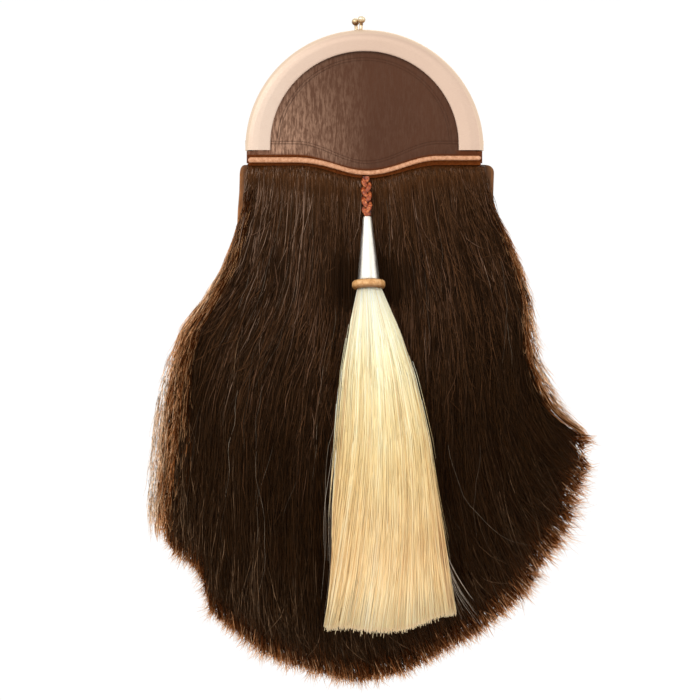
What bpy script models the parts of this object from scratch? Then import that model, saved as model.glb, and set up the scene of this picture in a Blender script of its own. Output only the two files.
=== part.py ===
"""A full-dress horsehair sporran: a leather pouch in a semicircular metal purse frame,
with a long curtain of dark hair on its front and one pale tassel.

Lengths are in millimetres in the part's design frame: X to the right, Y to the back,
Z up, with z = 0 at the frame's lower ends and y = 0 where its two halves meet.
The empty that carries every piece moves the strap tunnel's bearing point to the origin.
"""
import math
import random
from collections import namedtuple

import bmesh
import bpy
from mathutils import Vector

MM = 0.001                      # metres in a millimetre
GAP = 0.3                       # clearance between neighbouring pieces

# Frame: two pressed channels that meet at y = 0
FRAME_RADIUS = 80.0             # outer arc
FRAME_RISE = 1.0                # how far the outer arc's centre lies above the lower ends
OPENING_RADIUS = 63.1           # inner arc, round the leather
OPENING_RISE = 3.2
PLATE_BACK = 8.3                # inner face of the frame's plate, from y = 0
FRAME_STEPS = 34                # sections along the arc
PIN_RADIUS = 1.5
PIN_HEAD = 2.4                  # radius of its inner head
PIN_HEAD_LENGTH = 1.6
PIN_CHAMFER = 0.4
PIN_INNER, PIN_OUTER = 72.0, 79.7   # its ends along X, from the middle
PIN_LEVEL = 5.0
BALL_RADIUS = 2.65              # kiss clasp
STEM_RADIUS = 1.2
STEM_FOOT_RADIUS = 2.0
STEM_FOOT_DEPTH = 2.5           # how far the stem is sunk in the frame, to be fused there

# Section of the front half: distance inwards from the outer arc or outwards from the
# inner one, and y
ChannelPoint = namedtuple("ChannelPoint", "edge reach y")
CHANNEL = (
    ChannelPoint("inner", 0.0, -PLATE_BACK),
    ChannelPoint("inner", 0.0, -9.2),
    ChannelPoint("inner", 0.9, -9.7),
    ChannelPoint("inner", 8.0, -10.4),
    ChannelPoint("outer", 4.6, -10.0),
    ChannelPoint("outer", 1.9, -8.6),
    ChannelPoint("outer", 0.5, -6.6),
    ChannelPoint("outer", 0.0, -4.4),
    ChannelPoint("outer", 0.0, -0.15),
    ChannelPoint("outer", 1.2, -0.15),
    ChannelPoint("outer", 1.2, -4.8),
    ChannelPoint("outer", 2.4, -7.4),
    ChannelPoint("outer", 4.4, -PLATE_BACK),
)

# Each half's clasp ball: foot of its stem on the frame, and centre of the ball
ClaspRow = namedtuple("ClaspRow", "half foot ball")
CLASP = (
    ClaspRow("front", Vector((-2.5, -2.6, 79.5)), Vector((-1.9, -2.0, 88.1))),
    ClaspRow("back", Vector((-5.2, 2.6, 79.5)), Vector((-5.9, 2.0, 86.8))),
)

# Leather
LEATHER = 1.8                   # wall thickness
SHEET_FACE = 8.0                # outer face of both leathers in the frame, from y = 0
SHEET_RADIUS = 74.5             # the leathers run this far under the frame's plate
STRIP_HALF = 79.0               # half width of the strip below the frame
STRIP_TOP = -0.5
OGEE_MIDDLE = 2.0               # where the lower edge dips
OGEE_HALF = 48.0
PIPING_LEVEL = -5.4
PIPING_DIP = 9.9
STRIP_EDGE_LEVEL = -8.8
STRIP_EDGE_DIP = 8.6
PIPING_RADIUS = 1.35

# Bag
BAG_HALF = 78.0                 # half width of the front and back walls
BAG_BOTTOM = -125.0
BAG_CORNER = 40.0               # radius of the bottom corners
PANEL_TOP = -3.0
CORNER_STEPS = 7                # sections along each bottom corner
GUSSET_LEATHER = 1.6
GUSSET_FLANGE = 6.0
GUSSET_BULGE = 8.0              # how far the gusset stands out of the walls' outline

# Rows down the gusset's straight sides, from its round top
GussetRow = namedtuple("GussetRow", "level bulge")
GUSSET_ROWS = (
    GussetRow(-9.6, 4.2),
    GussetRow(-10.5, 6.2),
    GussetRow(-12.4, 7.6),
    GussetRow(-15.6, GUSSET_BULGE),
    GussetRow(-40.0, GUSSET_BULGE),
    GussetRow(-65.0, GUSSET_BULGE),
)

# Strap tunnel on the back
TUNNEL_WIDTH = 80.0
TUNNEL_TOP = 40.0               # upper and lower inner faces
TUNNEL_BOTTOM = 12.0
TUNNEL_DEPTH = 6.0
TUNNEL_MARGIN = 8.0             # sewn margin above and below
TUNNEL_LEATHER = 2.0
TUNNEL_STEP = 3.0               # the leather steps out over this height

# Tassel hardware
CONE_TOP = Vector((1.8, -21.5, -45.0))
CONE_MOUTH = Vector((2.7, -26.6, -87.3))
CONE_TOP_RADIUS = 2.6
CONE_MOUTH_RADIUS = 7.0
CONE_WALL = 0.8
RING_RADIUS = 11.0
RING_BORE = 7.3
RING_HEIGHT = 4.6
BRAID_TOP = Vector((1.0, -9.6, -17.9))
BRAID_WIDTH = 7.4
BRAID_STRAND = 1.55             # radius of one of its three strands
BRAID_TURNS = 1.3               # full swings of a strand along the plait
BRAID_GATHER = 0.45             # share of the swing that is left at its tied ends

# Rows down the bag's front wall: outer face at the wall's side edge and in its middle
PanelRow = namedtuple("PanelRow", "level side middle")
PANEL_ROWS = (
    PanelRow(-3, -4.0, -4.0),
    PanelRow(-20, -4.0, -4.0),
    PanelRow(-45, -7.0, -7.8),
    PanelRow(-70, -9.0, -11.0),
    PanelRow(-90, -10.5, -12.0),
    PanelRow(-110, -11.5, -14.5),
    PanelRow(-125, -12.0, -13.5),
)

# Rows down the hair: its left and right edges, as the curtain widens below the frame
SideRow = namedtuple("SideRow", "level left right")
SIDE_ROWS = (
    SideRow(-12, -77, 79),
    SideRow(-40, -83, 88),
    SideRow(-60, -89, 101),
    SideRow(-87, -102, 110),
    SideRow(-114, -120, 116),
    SideRow(-140, -133, 120),
    SideRow(-168, -137, 135),
    SideRow(-194, -142, 149),
    SideRow(-211, -146, 154),
    SideRow(-228, -149, 154),
)

# The hair's trimmed lower edge, from left to right
TipRow = namedtuple("TipRow", "across level")
TIP_ROWS = (
    TipRow(-149, -228),
    TipRow(-144, -256),
    TipRow(-130, -273),
    TipRow(-117, -281),
    TipRow(-109, -306),
    TipRow(-90, -324),
    TipRow(-70, -339),
    TipRow(-43, -350),
    TipRow(-3, -360),
    TipRow(24, -352),
    TipRow(51, -341),
    TipRow(77, -326),
    TipRow(104, -306),
    TipRow(118, -286),
    TipRow(138, -267),
    TipRow(149, -240),
    TipRow(154, -211),
)

# Rows down the hair: front and back of the curtain, in its middle and at its sides,
# and how far the hanging tassel presses into it
DepthRow = namedtuple("DepthRow", "level front front_side back back_side groove")
DEPTH_ROWS = (
    DepthRow(-12, -9.5, -9.0, -5.0, -5.0, 0.0),
    DepthRow(-30, -14.0, -11.5, -8.0, -6.5, 4.0),
    DepthRow(-60, -21.0, -16.0, -11.5, -10.0, 7.0),
    DepthRow(-90, -27.0, -20.0, -13.5, -12.0, 12.0),
    DepthRow(-120, -33.0, -23.0, -17.0, -14.0, 7.0),
    DepthRow(-148, -37.0, -24.0, -17.0, -14.0, 5.0),
    DepthRow(-190, -41.0, -23.0, -6.0, -8.0, 4.0),
    DepthRow(-235, -41.0, -20.0, 2.0, -6.0, 4.0),
    DepthRow(-290, -37.0, -17.0, 3.0, -5.0, 4.0),
    DepthRow(-330, -31.0, -16.0, 1.0, -6.0, 2.0),
    DepthRow(-365, -24.0, -15.0, -6.0, -8.0, 0.0),
)
HEADING_TOP = -6.5              # the sewn heading, tucked behind the strip
HEADING_THICKNESS = 1.5
HAIR_START = 0.9                # the hair leaves the strip this far below its edge
HAIR_CLEARANCE = 1.5            # between the hair's back and the bag's front wall
LOCKS = 22                      # locks across the curtain
LOCK_COLUMNS = 4                # columns of points in each lock
LOCK_RELIEF = 2.6               # how far a lock's ridge stands out near its tip
RELIEF_RANGE = (0.7, 1.3)       # locks differ by this factor
PRESSED_SMOOTH = 0.8            # share of the relief that the tassel presses flat
LOCK_LENGTHS = (-3.0, 3.0)      # locks are longer or shorter by this
TIP_RELIEF = 6.0                # how far a lock's tip hangs below its edges
TIP_SHARE = 0.35                # share of that relief that lies above the lower edge
TIP_TAPER = 0.22                # share of the thickness trimmed off each face at the tips
LEAST_HAIR = 1.5                # thinnest the hair is pressed, over the bag
GROOVE_MIDDLE = 3.0
GROOVE_FLAT = 12.0              # half width of the groove's bottom
GROOVE_HALF = 34.0
HAIR_ROWS = (0.03, 0.08, 0.14, 0.21, 0.30, 0.42, 0.56, 0.70, 0.83, 0.93, 1.0)

# Rows down the tassel: left and right edges and half depth
TasselRow = namedtuple("TasselRow", "level left right half_depth")
TASSEL_ROWS = (
    TasselRow(-80, -2.0, 7.0, 4.4),
    TasselRow(-88, -3.3, 8.8, 5.8),
    TasselRow(-94, -3.9, 9.7, 6.5),
    TasselRow(-106, -7.5, 16.5, 8.5),
    TasselRow(-121, -9.9, 23.0, 10.0),
    TasselRow(-150, -14.3, 32.3, 12.0),
    TasselRow(-194, -17.1, 41.9, 13.0),
    TasselRow(-235, -20.4, 47.9, 13.5),
    TasselRow(-261, -21.1, 52.6, 13.0),
    TasselRow(-295, -21.8, 57.3, 12.0),
    TasselRow(-317, -23.8, 62.0, 11.0),
)
TASSEL_FREE = -100              # below this level the tassel lies on the hair
TASSEL_POINTS = 40
TASSEL_LOCKS = 10
TASSEL_RELIEF = 0.9
TASSEL_TIP_RISE = 12.0          # the trimmed end rises this far to its right-hand side
TASSEL_TIP_RELIEF = 4.0         # how far a lock's tip hangs below its edges


# ---------------------------------------------------------------- helpers

def start_empty():
    """Remove the scene's objects and their meshes."""
    for thing in list(bpy.data.objects):
        bpy.data.objects.remove(thing, do_unlink=True)
    for mesh in list(bpy.data.meshes):
        bpy.data.meshes.remove(mesh)


def material(name, color, roughness, metallic=0.0):
    """Principled material with one colour."""
    made = bpy.data.materials.new(name)
    made.use_nodes = True
    shader = made.node_tree.nodes["Principled BSDF"]
    shader.inputs["Base Color"].default_value = (*color, 1.0)
    shader.inputs["Roughness"].default_value = roughness
    shader.inputs["Metallic"].default_value = metallic
    return made


def mix(first, second, share):
    """Value that lies the given share of the way from first to second."""
    return first + (second - first) * share


def ease(share):
    """Smooth step from 0 to 1."""
    share = min(max(share, 0.0), 1.0)
    return share * share * (3 - 2 * share)


def read(rows, key, column, at):
    """Value of a table's column where its key column has the value at."""
    falling = getattr(rows[0], key) > getattr(rows[-1], key)
    ordered = rows[::-1] if falling else rows
    below = ordered[0]
    for above in ordered[1:]:
        if at <= getattr(above, key):
            break
        below = above
    else:
        return getattr(ordered[-1], column)
    span = getattr(above, key) - getattr(below, key)
    share = min(max((at - getattr(below, key)) / span, 0.0), 1.0)
    return mix(getattr(below, column), getattr(above, column), share)


def solid(name, points, faces, finish, parent, smooth_angle=40):
    """Closed mesh object from points in millimetres, with its faces pointing out."""
    mesh = bpy.data.meshes.new(name)
    mesh.from_pydata([Vector(point) * MM for point in points], [], faces)
    work = bmesh.new()
    work.from_mesh(mesh)
    bmesh.ops.recalc_face_normals(work, faces=work.faces)
    work.to_mesh(mesh)
    work.free()
    mesh.shade_smooth()
    mesh.set_sharp_from_angle(angle=math.radians(smooth_angle))
    made = bpy.data.objects.new(name, mesh)
    bpy.context.collection.objects.link(made)
    made.parent = parent
    if finish is not None:
        mesh.materials.append(finish)
    return made


def loft(rings):
    """Points and faces of a closed body through rings that have equal point counts."""
    count = len(rings[0])
    points = [point for ring in rings for point in ring]
    faces = [tuple(range(count)), tuple((len(rings) - 1) * count + i for i in range(count))]
    for row in range(len(rings) - 1):
        low = row * count
        for i in range(count):
            j = (i + 1) % count
            faces.append((low + i, low + j, low + count + j, low + count + i))
    return points, faces


def thick_sheet(front, back):
    """Closed body between two grids of points, given as equal lists of rows."""
    rings = [front_row + back_row[::-1] for front_row, back_row in zip(front, back)]
    points, faces = loft(rings)
    count, wide = len(rings[0]), len(front[0])
    faces = faces[2:]
    for low in (0, (len(rings) - 1) * count):
        for i in range(wide - 1):
            faces.append((low + i, low + i + 1, low + count - 2 - i, low + count - 1 - i))
    return points, faces


def plate(outline, front, back):
    """Flat body with an outline of (x, z) points between two planes y = front and back."""
    rings = [[(x, y, z) for x, z in outline] for y in (front, back)]
    return loft(rings)


def tube(route, radius, sides):
    """Closed round tube along a route."""
    rings = []
    for i, point in enumerate(route):
        before, after = route[max(i - 1, 0)], route[min(i + 1, len(route) - 1)]
        along = (Vector(after) - Vector(before)).normalized()
        side = along.cross(Vector((0, 1, 0))).normalized()
        up = side.cross(along)
        rings.append([
            Vector(point) + radius * (math.cos(turn) * side + math.sin(turn) * up)
            for turn in (2 * math.pi * k / sides for k in range(sides))
        ])
    return loft(rings)


def turned(profile, start, end, sides):
    """Body turned about the axis from start to end, from a closed (radius, height) profile."""
    along = (end - start).normalized()
    place = along.to_track_quat("Z", "Y")
    points, faces, loops = [], [], []
    for radius, height in profile:
        if radius == 0:
            loops.append([len(points)] * sides)
            points.append(start + place @ Vector((0, 0, height)))
            continue
        loops.append([len(points) + k for k in range(sides)])
        for k in range(sides):
            turn = 2 * math.pi * k / sides
            spot = Vector((radius * math.cos(turn), radius * math.sin(turn), height))
            points.append(start + place @ spot)
    closed = all(radius > 0 for radius, _ in profile)
    pairs = list(zip(loops, loops[1:] + loops[:1] if closed else loops[1:]))
    for first, second in pairs:
        for k in range(sides):
            corners = [first[k], first[(k + 1) % sides], second[(k + 1) % sides], second[k]]
            face = tuple(dict.fromkeys(corners))
            if len(face) > 2:
                faces.append(face)
    return points, faces


def combine(base, helper, operation):
    """Boolean of base with a helper body, which stays hidden."""
    helper.hide_render = True
    helper.display_type = "WIRE"
    cut = base.modifiers.new(helper.name, "BOOLEAN")
    cut.operation = operation
    cut.object = helper


# ---------------------------------------------------------------- outlines

def dip(across):
    """Shape of the ogee: 1 at the middle of the strip's lower edge, 0 at its sides."""
    reach = abs(across - OGEE_MIDDLE) / OGEE_HALF
    return math.cos(math.pi / 2 * reach) ** 2 if reach < 1 else 0.0


def strip_edge(across):
    """Level of the strip's lower edge."""
    return STRIP_EDGE_LEVEL - STRIP_EDGE_DIP * dip(across)


def sheet_arch(half):
    """(x, z) points over a leather sheet's arch, between its wider shoulders at x = half."""
    steps = 28
    turns = [math.pi * k / steps for k in range(steps + 1)]
    curve = [(SHEET_RADIUS * math.cos(turn), FRAME_RISE + SHEET_RADIUS * math.sin(turn))
             for turn in turns]
    right = [(half, STRIP_TOP), (SHEET_RADIUS, STRIP_TOP)]
    left = [(-SHEET_RADIUS, STRIP_TOP), (-half, STRIP_TOP)]
    return right + curve + left


def bag_corners():
    """(x, z, outward x, outward z) rows round the left bottom corner, then the right one."""
    centre_x, centre_z = BAG_HALF - BAG_CORNER, BAG_BOTTOM + BAG_CORNER
    left = []
    for k in range(CORNER_STEPS + 1):
        turn = math.pi + math.pi / 2 * k / CORNER_STEPS
        out_x, out_z = math.cos(turn), math.sin(turn)
        left.append((BAG_CORNER * out_x - centre_x, centre_z + BAG_CORNER * out_z, out_x, out_z))
    right = [(-x, z, -out_x, out_z) for x, z, out_x, out_z in reversed(left)]
    return left, right


def bag_half(level):
    """Half width of the bag's walls at a level."""
    below = BAG_BOTTOM + BAG_CORNER - level
    if below <= 0:
        return BAG_HALF
    return BAG_HALF - BAG_CORNER + math.sqrt(max(BAG_CORNER ** 2 - below ** 2, 0))


def panel_face(across, level):
    """Outer face of the bag's front wall."""
    share = min(abs(across) / bag_half(max(level, BAG_BOTTOM)), 1.0)
    side = read(PANEL_ROWS, "level", "side", level)
    middle = read(PANEL_ROWS, "level", "middle", level)
    return mix(middle, side, share ** 2)


# ---------------------------------------------------------------- metal frame

def frame_section(turn, side):
    """Channel section at an angle along the arc of the front half, or with side 1 the back."""
    cos, sin = math.cos(turn), math.sin(turn)
    ramp = min(1.0, sin / math.sin(math.pi / FRAME_STEPS))
    inner = Vector((OPENING_RADIUS * cos, 0, OPENING_RISE * ramp + OPENING_RADIUS * sin))
    outer = Vector((FRAME_RADIUS * cos, 0, FRAME_RISE * ramp + FRAME_RADIUS * sin))
    inwards = (inner - outer).normalized()
    section = []
    for point in CHANNEL:
        spot = outer + inwards * point.reach if point.edge == "outer" else inner - inwards * point.reach
        spot.y = -side * point.y
        section.append(spot)
    return section


def clasp_ball(row, parent):
    """One ball of the kiss clasp on its stem, to be fused to its half of the frame."""
    reach = (row.ball - row.foot).length
    join = math.asin(STEM_RADIUS / BALL_RADIUS)
    profile = [(0, -STEM_FOOT_DEPTH), (STEM_FOOT_RADIUS, -STEM_FOOT_DEPTH),
               (STEM_FOOT_RADIUS, 0.6), (STEM_RADIUS, 2.0)]
    steps = 6
    for k in range(steps):
        turn = mix(join, math.pi, k / steps)
        profile.append((BALL_RADIUS * math.sin(turn), reach - BALL_RADIUS * math.cos(turn)))
    profile.append((0, reach + BALL_RADIUS))
    return solid(row.half + "_ball_form", *turned(profile, row.foot, row.ball, 12), None, parent)


def along_pin(sign, reach):
    """Point on a hinge pin's axis, at a distance from the middle."""
    return Vector((sign * reach, 0, PIN_LEVEL))


def make_frame(row, side, metal, parent):
    """One half of the purse frame, with its clasp ball and the holes for the hinge pins."""
    rings = [frame_section(math.pi * k / FRAME_STEPS, side) for k in range(FRAME_STEPS + 1)]
    frame = solid(row.half + "_frame", *loft(rings), metal, parent)
    combine(frame, clasp_ball(row, parent), "UNION")
    hole = PIN_RADIUS + GAP
    for sign in (-1, 1):
        start, end = along_pin(sign, PIN_INNER - 1), along_pin(sign, PIN_OUTER + 4)
        reach = (end - start).length
        profile = [(0, 0), (hole, 0), (hole, reach), (0, reach)]
        cutter = solid(f"{row.half}_hole_form", *turned(profile, start, end, 16), None, parent)
        combine(frame, cutter, "DIFFERENCE")


def make_hinge_pins(metal, parent):
    """Plain pins at the frame's lower ends, headed inside."""
    reach = PIN_OUTER - PIN_INNER
    profile = [(0, 0), (PIN_HEAD, 0), (PIN_HEAD, PIN_HEAD_LENGTH), (PIN_RADIUS, PIN_HEAD_LENGTH),
               (PIN_RADIUS, reach - PIN_CHAMFER), (PIN_RADIUS - PIN_CHAMFER, reach), (0, reach)]
    for name, sign in (("left", -1), ("right", 1)):
        start, end = along_pin(sign, PIN_INNER), along_pin(sign, PIN_OUTER)
        solid("hinge_pin_" + name, *turned(profile, start, end, 14), metal, parent)


# ---------------------------------------------------------------- leather

def make_cantle_leather(leather, parent):
    """Leather in the front frame, one piece with the strip under it."""
    outline = sheet_arch(STRIP_HALF)
    steps = 26
    for k in range(steps + 1):
        across = mix(-STRIP_HALF, STRIP_HALF, k / steps)
        outline.append((across, strip_edge(across)))
    points, faces = plate(outline, -SHEET_FACE, -SHEET_FACE + LEATHER)
    return solid("cantle_leather", points, faces, leather, parent)


def make_piping(tan, parent):
    """Rolled cord that lies on the strip along the ogee."""
    steps = 34
    half = STRIP_HALF - 1.0
    centre = -SHEET_FACE - GAP - PIPING_RADIUS
    route = []
    for k in range(steps + 1):
        across = mix(-half, half, k / steps)
        route.append((across, centre, PIPING_LEVEL - PIPING_DIP * dip(across)))
    points, faces = tube(route, PIPING_RADIUS, 8)
    return solid("piping", points, faces, tan, parent)


def make_back_panel(leather, parent):
    """Flat back wall, held in the back frame, with the bag's round lower corners."""
    left, right = bag_corners()
    outline = sheet_arch(BAG_HALF) + [(x, z) for x, z, _, _ in left + right]
    points, faces = plate(outline, SHEET_FACE - LEATHER, SHEET_FACE)
    return solid("back_panel", points, faces, leather, parent)


def make_front_panel(leather, parent):
    """Bulged front wall of the bag, from behind the strip to the round bottom."""
    corner = [BAG_BOTTOM + BAG_CORNER * (1 - math.sin(math.pi / 2 * k / CORNER_STEPS))
              for k in range(CORNER_STEPS + 1)]
    levels = [row.level for row in PANEL_ROWS if row.level > corner[0]] + corner
    columns = 14
    front, back = [], []
    for level in levels:
        half = bag_half(level)
        shares = [mix(-1, 1, k / columns) for k in range(columns + 1)]
        front.append([(half * s, panel_face(half * s, level), level) for s in shares])
        back.append([(x, y + LEATHER, z) for x, y, z in front[-1]])
    points, faces = thick_sheet(front, back)
    return solid("front_panel", points, faces, leather, parent)


def gusset_section(x, z, out_x, out_z, bulge=GUSSET_BULGE):
    """C section across the gusset: a flange behind each wall and a bulge between them."""
    front = panel_face(x, z) + LEATHER + 2 * GAP
    back = SHEET_FACE - LEATHER - GAP
    half, middle = (back - front) / 2, (back + front) / 2
    wall = GUSSET_LEATHER
    outside = [(-GUSSET_FLANGE, front), (0, front)]
    inside = [(-GUSSET_FLANGE, front + wall), (0, front + wall)]
    for turn in map(math.radians, (-55, -20, 20, 55)):
        full = math.cos(turn) ** 0.6
        outside.append((bulge * full, middle + half * math.sin(turn)))
        inside.append(((bulge - wall) * full, middle + (half - wall) * math.sin(turn)))
    outside += [(0, back), (-GUSSET_FLANGE, back)]
    inside += [(0, back - wall), (-GUSSET_FLANGE, back - wall)]
    return [(x + out_x * reach, y, z + out_z * reach) for reach, y in outside + inside[::-1]]


def make_gusset(leather, parent):
    """Strip that joins the walls down the sides and along the bottom, with round tops."""
    left, right = bag_corners()
    sections = [gusset_section(-BAG_HALF, row.level, -1, 0, row.bulge) for row in GUSSET_ROWS]
    sections += [gusset_section(*row) for row in left]
    sections.append(gusset_section(0, BAG_BOTTOM, 0, -1))
    sections += [gusset_section(*row) for row in right]
    sections += [gusset_section(BAG_HALF, row.level, 1, 0, row.bulge) for row in GUSSET_ROWS[::-1]]
    return solid("gusset", *loft(sections), leather, parent)


def make_belt_loop(leather, parent):
    """Leather sewn to the back wall above and below, open to both sides for the strap."""
    near = SHEET_FACE + GAP
    far = near + TUNNEL_DEPTH
    wall = TUNNEL_LEATHER
    step = TUNNEL_STEP
    inner = [(near, TUNNEL_TOP + TUNNEL_MARGIN), (near, TUNNEL_TOP), (far - 1, TUNNEL_TOP - 0.4),
             (far, TUNNEL_TOP - step), (far, TUNNEL_BOTTOM + step),
             (far - 1, TUNNEL_BOTTOM + 0.4), (near, TUNNEL_BOTTOM),
             (near, TUNNEL_BOTTOM - TUNNEL_MARGIN)]
    outer = [(near + wall, TUNNEL_BOTTOM - TUNNEL_MARGIN), (near + wall, TUNNEL_BOTTOM - wall),
             (far, TUNNEL_BOTTOM - wall + 0.6), (far + wall, TUNNEL_BOTTOM + step),
             (far + wall, TUNNEL_TOP - step), (far, TUNNEL_TOP + wall - 0.6),
             (near + wall, TUNNEL_TOP + wall), (near + wall, TUNNEL_TOP + TUNNEL_MARGIN)]
    rings = [[(x, y, z) for y, z in inner + outer]
             for x in (-TUNNEL_WIDTH / 2, TUNNEL_WIDTH / 2)]
    return solid("belt_loop", *loft(rings), leather, parent, smooth_angle=50)


# ---------------------------------------------------------------- hair

def hair_spot(share, drop):
    """(x, z) in the curtain: share across from left to right, drop from heading to tips."""
    left_end, right_end = TIP_ROWS[0], TIP_ROWS[-1]

    def edge(side, end):
        level = mix(SIDE_ROWS[0].level, end.level, drop)
        return Vector((read(SIDE_ROWS, "level", side, level), level))

    def heading(at):
        across = mix(SIDE_ROWS[0].left, SIDE_ROWS[0].right, at)
        return Vector((across, strip_edge(across) - HAIR_START))

    def tips(at):
        across = mix(left_end.across, right_end.across, at)
        return Vector((across, read(TIP_ROWS, "across", "level", across)))

    rails = mix(heading(share), tips(share), drop)
    rails += mix(edge("left", left_end), edge("right", right_end), share)
    first, second = mix(heading(0), tips(0), drop), mix(heading(1), tips(1), drop)
    return rails - mix(first, second, share)


def hair_faces(across, level, share):
    """Front and back of the curtain, without its locks."""
    fullness = math.sqrt(max(1 - abs(2 * share - 1) ** 3, 0))
    row = {name: read(DEPTH_ROWS, "level", name, level) for name in DepthRow._fields[1:]}
    front = mix(row["front_side"], row["front"], fullness)
    back = mix(row["back_side"], row["back"], fullness)
    pressed = ease((GROOVE_HALF - abs(across - GROOVE_MIDDLE)) / (GROOVE_HALF - GROOVE_FLAT))
    front += row["groove"] * pressed
    below_bag = BAG_BOTTOM - GUSSET_BULGE - HAIR_CLEARANCE
    if level > below_bag:
        back = min(back, panel_face(across, max(level, BAG_BOTTOM)) - HAIR_CLEARANCE)
    return min(front, back - LEAST_HAIR), back, pressed


def heading_row(share, level):
    """Front and back points of the heading that is tucked behind the strip."""
    across = mix(SIDE_ROWS[0].left, SIDE_ROWS[0].right, share)
    front = -SHEET_FACE + LEATHER + GAP
    height = level if level is not None else strip_edge(across) - GAP
    return (across, front, height), (across, front + HEADING_THICKNESS, height)


def lock_point(share, drop, ridge, length, relief):
    """Front and back points of a lock; ridge is 0 at its edges and 1 along its middle."""
    across, level = hair_spot(share, drop)
    near, far, pressed = hair_faces(across, level, share)
    lift = LOCK_RELIEF * relief * ridge * (1 - PRESSED_SMOOTH * pressed)
    hang = length * ridge
    if 0 < share < 1:
        hang += TIP_RELIEF * (ridge - TIP_SHARE)
    level -= hang * ease((drop - 0.7) / 0.3)
    near -= lift * ease(drop * 1.4)
    far += lift * ease((drop - 0.45) / 0.4)
    if drop == 1:
        near, far = mix(near, far, TIP_TAPER), mix(far, near, TIP_TAPER)
    return (across, near, level), (across, far, level)


def make_hair(dark_hair, parent):
    """Curtain of locks, fused along a thin heading that is tucked behind the strip."""
    chance = random.Random(11)
    lengths = [chance.uniform(*LOCK_LENGTHS) for _ in range(LOCKS)]
    reliefs = [chance.uniform(*RELIEF_RANGE) for _ in range(LOCKS)]
    columns = LOCKS * LOCK_COLUMNS
    rows = [[heading_row(k / columns, level) for k in range(columns + 1)]
            for level in (HEADING_TOP, None)]
    for drop in HAIR_ROWS:
        row = []
        for k in range(columns + 1):
            lock = min(k // LOCK_COLUMNS, LOCKS - 1)
            ridge = math.sin(math.pi * (k / LOCK_COLUMNS - lock)) ** 2
            row.append(lock_point(k / columns, drop, ridge, lengths[lock], reliefs[lock]))
        rows.append(row)
    front = [[pair[0] for pair in row] for row in rows]
    back = [[pair[1] for pair in row] for row in rows]
    points, faces = thick_sheet(front, back)
    return solid("hair", points, faces, dark_hair, parent, smooth_angle=60)


# ---------------------------------------------------------------- tassel

def braid_route(lane):
    """Route of one strand of the plait, which leaves and ends upright."""
    bottom = CONE_TOP + Vector((0, 0, 2 * GAP))
    swing = BRAID_WIDTH / 2 - BRAID_STRAND
    steps = 18
    route = []
    for k in range(steps + 1):
        share = k / steps
        turn = 2 * math.pi * (BRAID_TURNS * share + lane / 3)
        open_share = mix(BRAID_GATHER, 1, ease(min(share, 1 - share) * 6))
        centre = BRAID_TOP.lerp(bottom, share)
        centre.y = mix(BRAID_TOP.y, bottom.y, ease(share))
        centre.x += swing * open_share * math.sin(turn)
        centre.y += 0.75 * BRAID_STRAND * open_share * math.sin(2 * turn)
        route.append(centre)
    route[0].xy, route[-1].xy = route[1].xy, route[-2].xy
    return route


def make_braid(tan, parent):
    """Plait of three leather strands, fused where they cross."""
    braid = None
    for lane in range(3):
        route = braid_route(lane)
        points, faces = tube(route, BRAID_STRAND, 6)
        if braid is None:
            braid = solid("braid", points, faces, tan, parent)
        else:
            combine(braid, solid(f"braid_form_{lane}", points, faces, None, parent), "UNION")
    return braid


def make_cone(metal, parent):
    """Hollow metal cone, closed at its small end."""
    height = (CONE_MOUTH - CONE_TOP).length
    wall = CONE_WALL
    profile = [(0, 0), (CONE_TOP_RADIUS - 0.5, 0), (CONE_TOP_RADIUS, 0.6),
               (CONE_MOUTH_RADIUS, height), (CONE_MOUTH_RADIUS - wall, height),
               (CONE_TOP_RADIUS - wall + 0.1, 2.0), (0, 2.0)]
    return solid("cone", *turned(profile, CONE_TOP, CONE_MOUTH, 20), metal, parent)


def make_ring(tan, parent):
    """Rolled ring under the cone's mouth."""
    along = (CONE_MOUTH - CONE_TOP).normalized()
    start = CONE_MOUTH + along * (GAP + RING_HEIGHT / 2)
    middle = (RING_RADIUS + RING_BORE) / 2
    half = (RING_RADIUS - RING_BORE) / 2
    profile = []
    for k in range(8):
        turn = 2 * math.pi * (k + 0.5) / 8
        profile.append((middle + half * math.cos(turn) / math.cos(math.pi / 8),
                        RING_HEIGHT / 2 * math.sin(turn) / math.sin(math.pi * 3 / 8)))
    return solid("ring", *turned(profile, start, start + along, 24), tan, parent)


def tassel_centre(row):
    """Y of the tassel's centre: on the cone's axis, or where the tassel rests on the hair."""
    if row.level > TASSEL_FREE:
        share = (row.level - CONE_TOP.z) / (CONE_MOUTH.z - CONE_TOP.z)
        return mix(CONE_TOP.y, CONE_MOUTH.y, share)
    half, middle = (row.right - row.left) / 2, (row.right + row.left) / 2
    width = TIP_ROWS[-1].across - TIP_ROWS[0].across
    limits = []
    for k in range(-8, 9):
        across = middle + half * k / 8
        front, _, pressed = hair_faces(across, row.level, 0.5 + across / width)
        lift = LOCK_RELIEF * RELIEF_RANGE[1] * (1 - PRESSED_SMOOTH * pressed)
        limits.append(front - lift - 2 * GAP - row.half_depth * math.sqrt(1 - (k / 8) ** 2))
    return min(limits)


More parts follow.
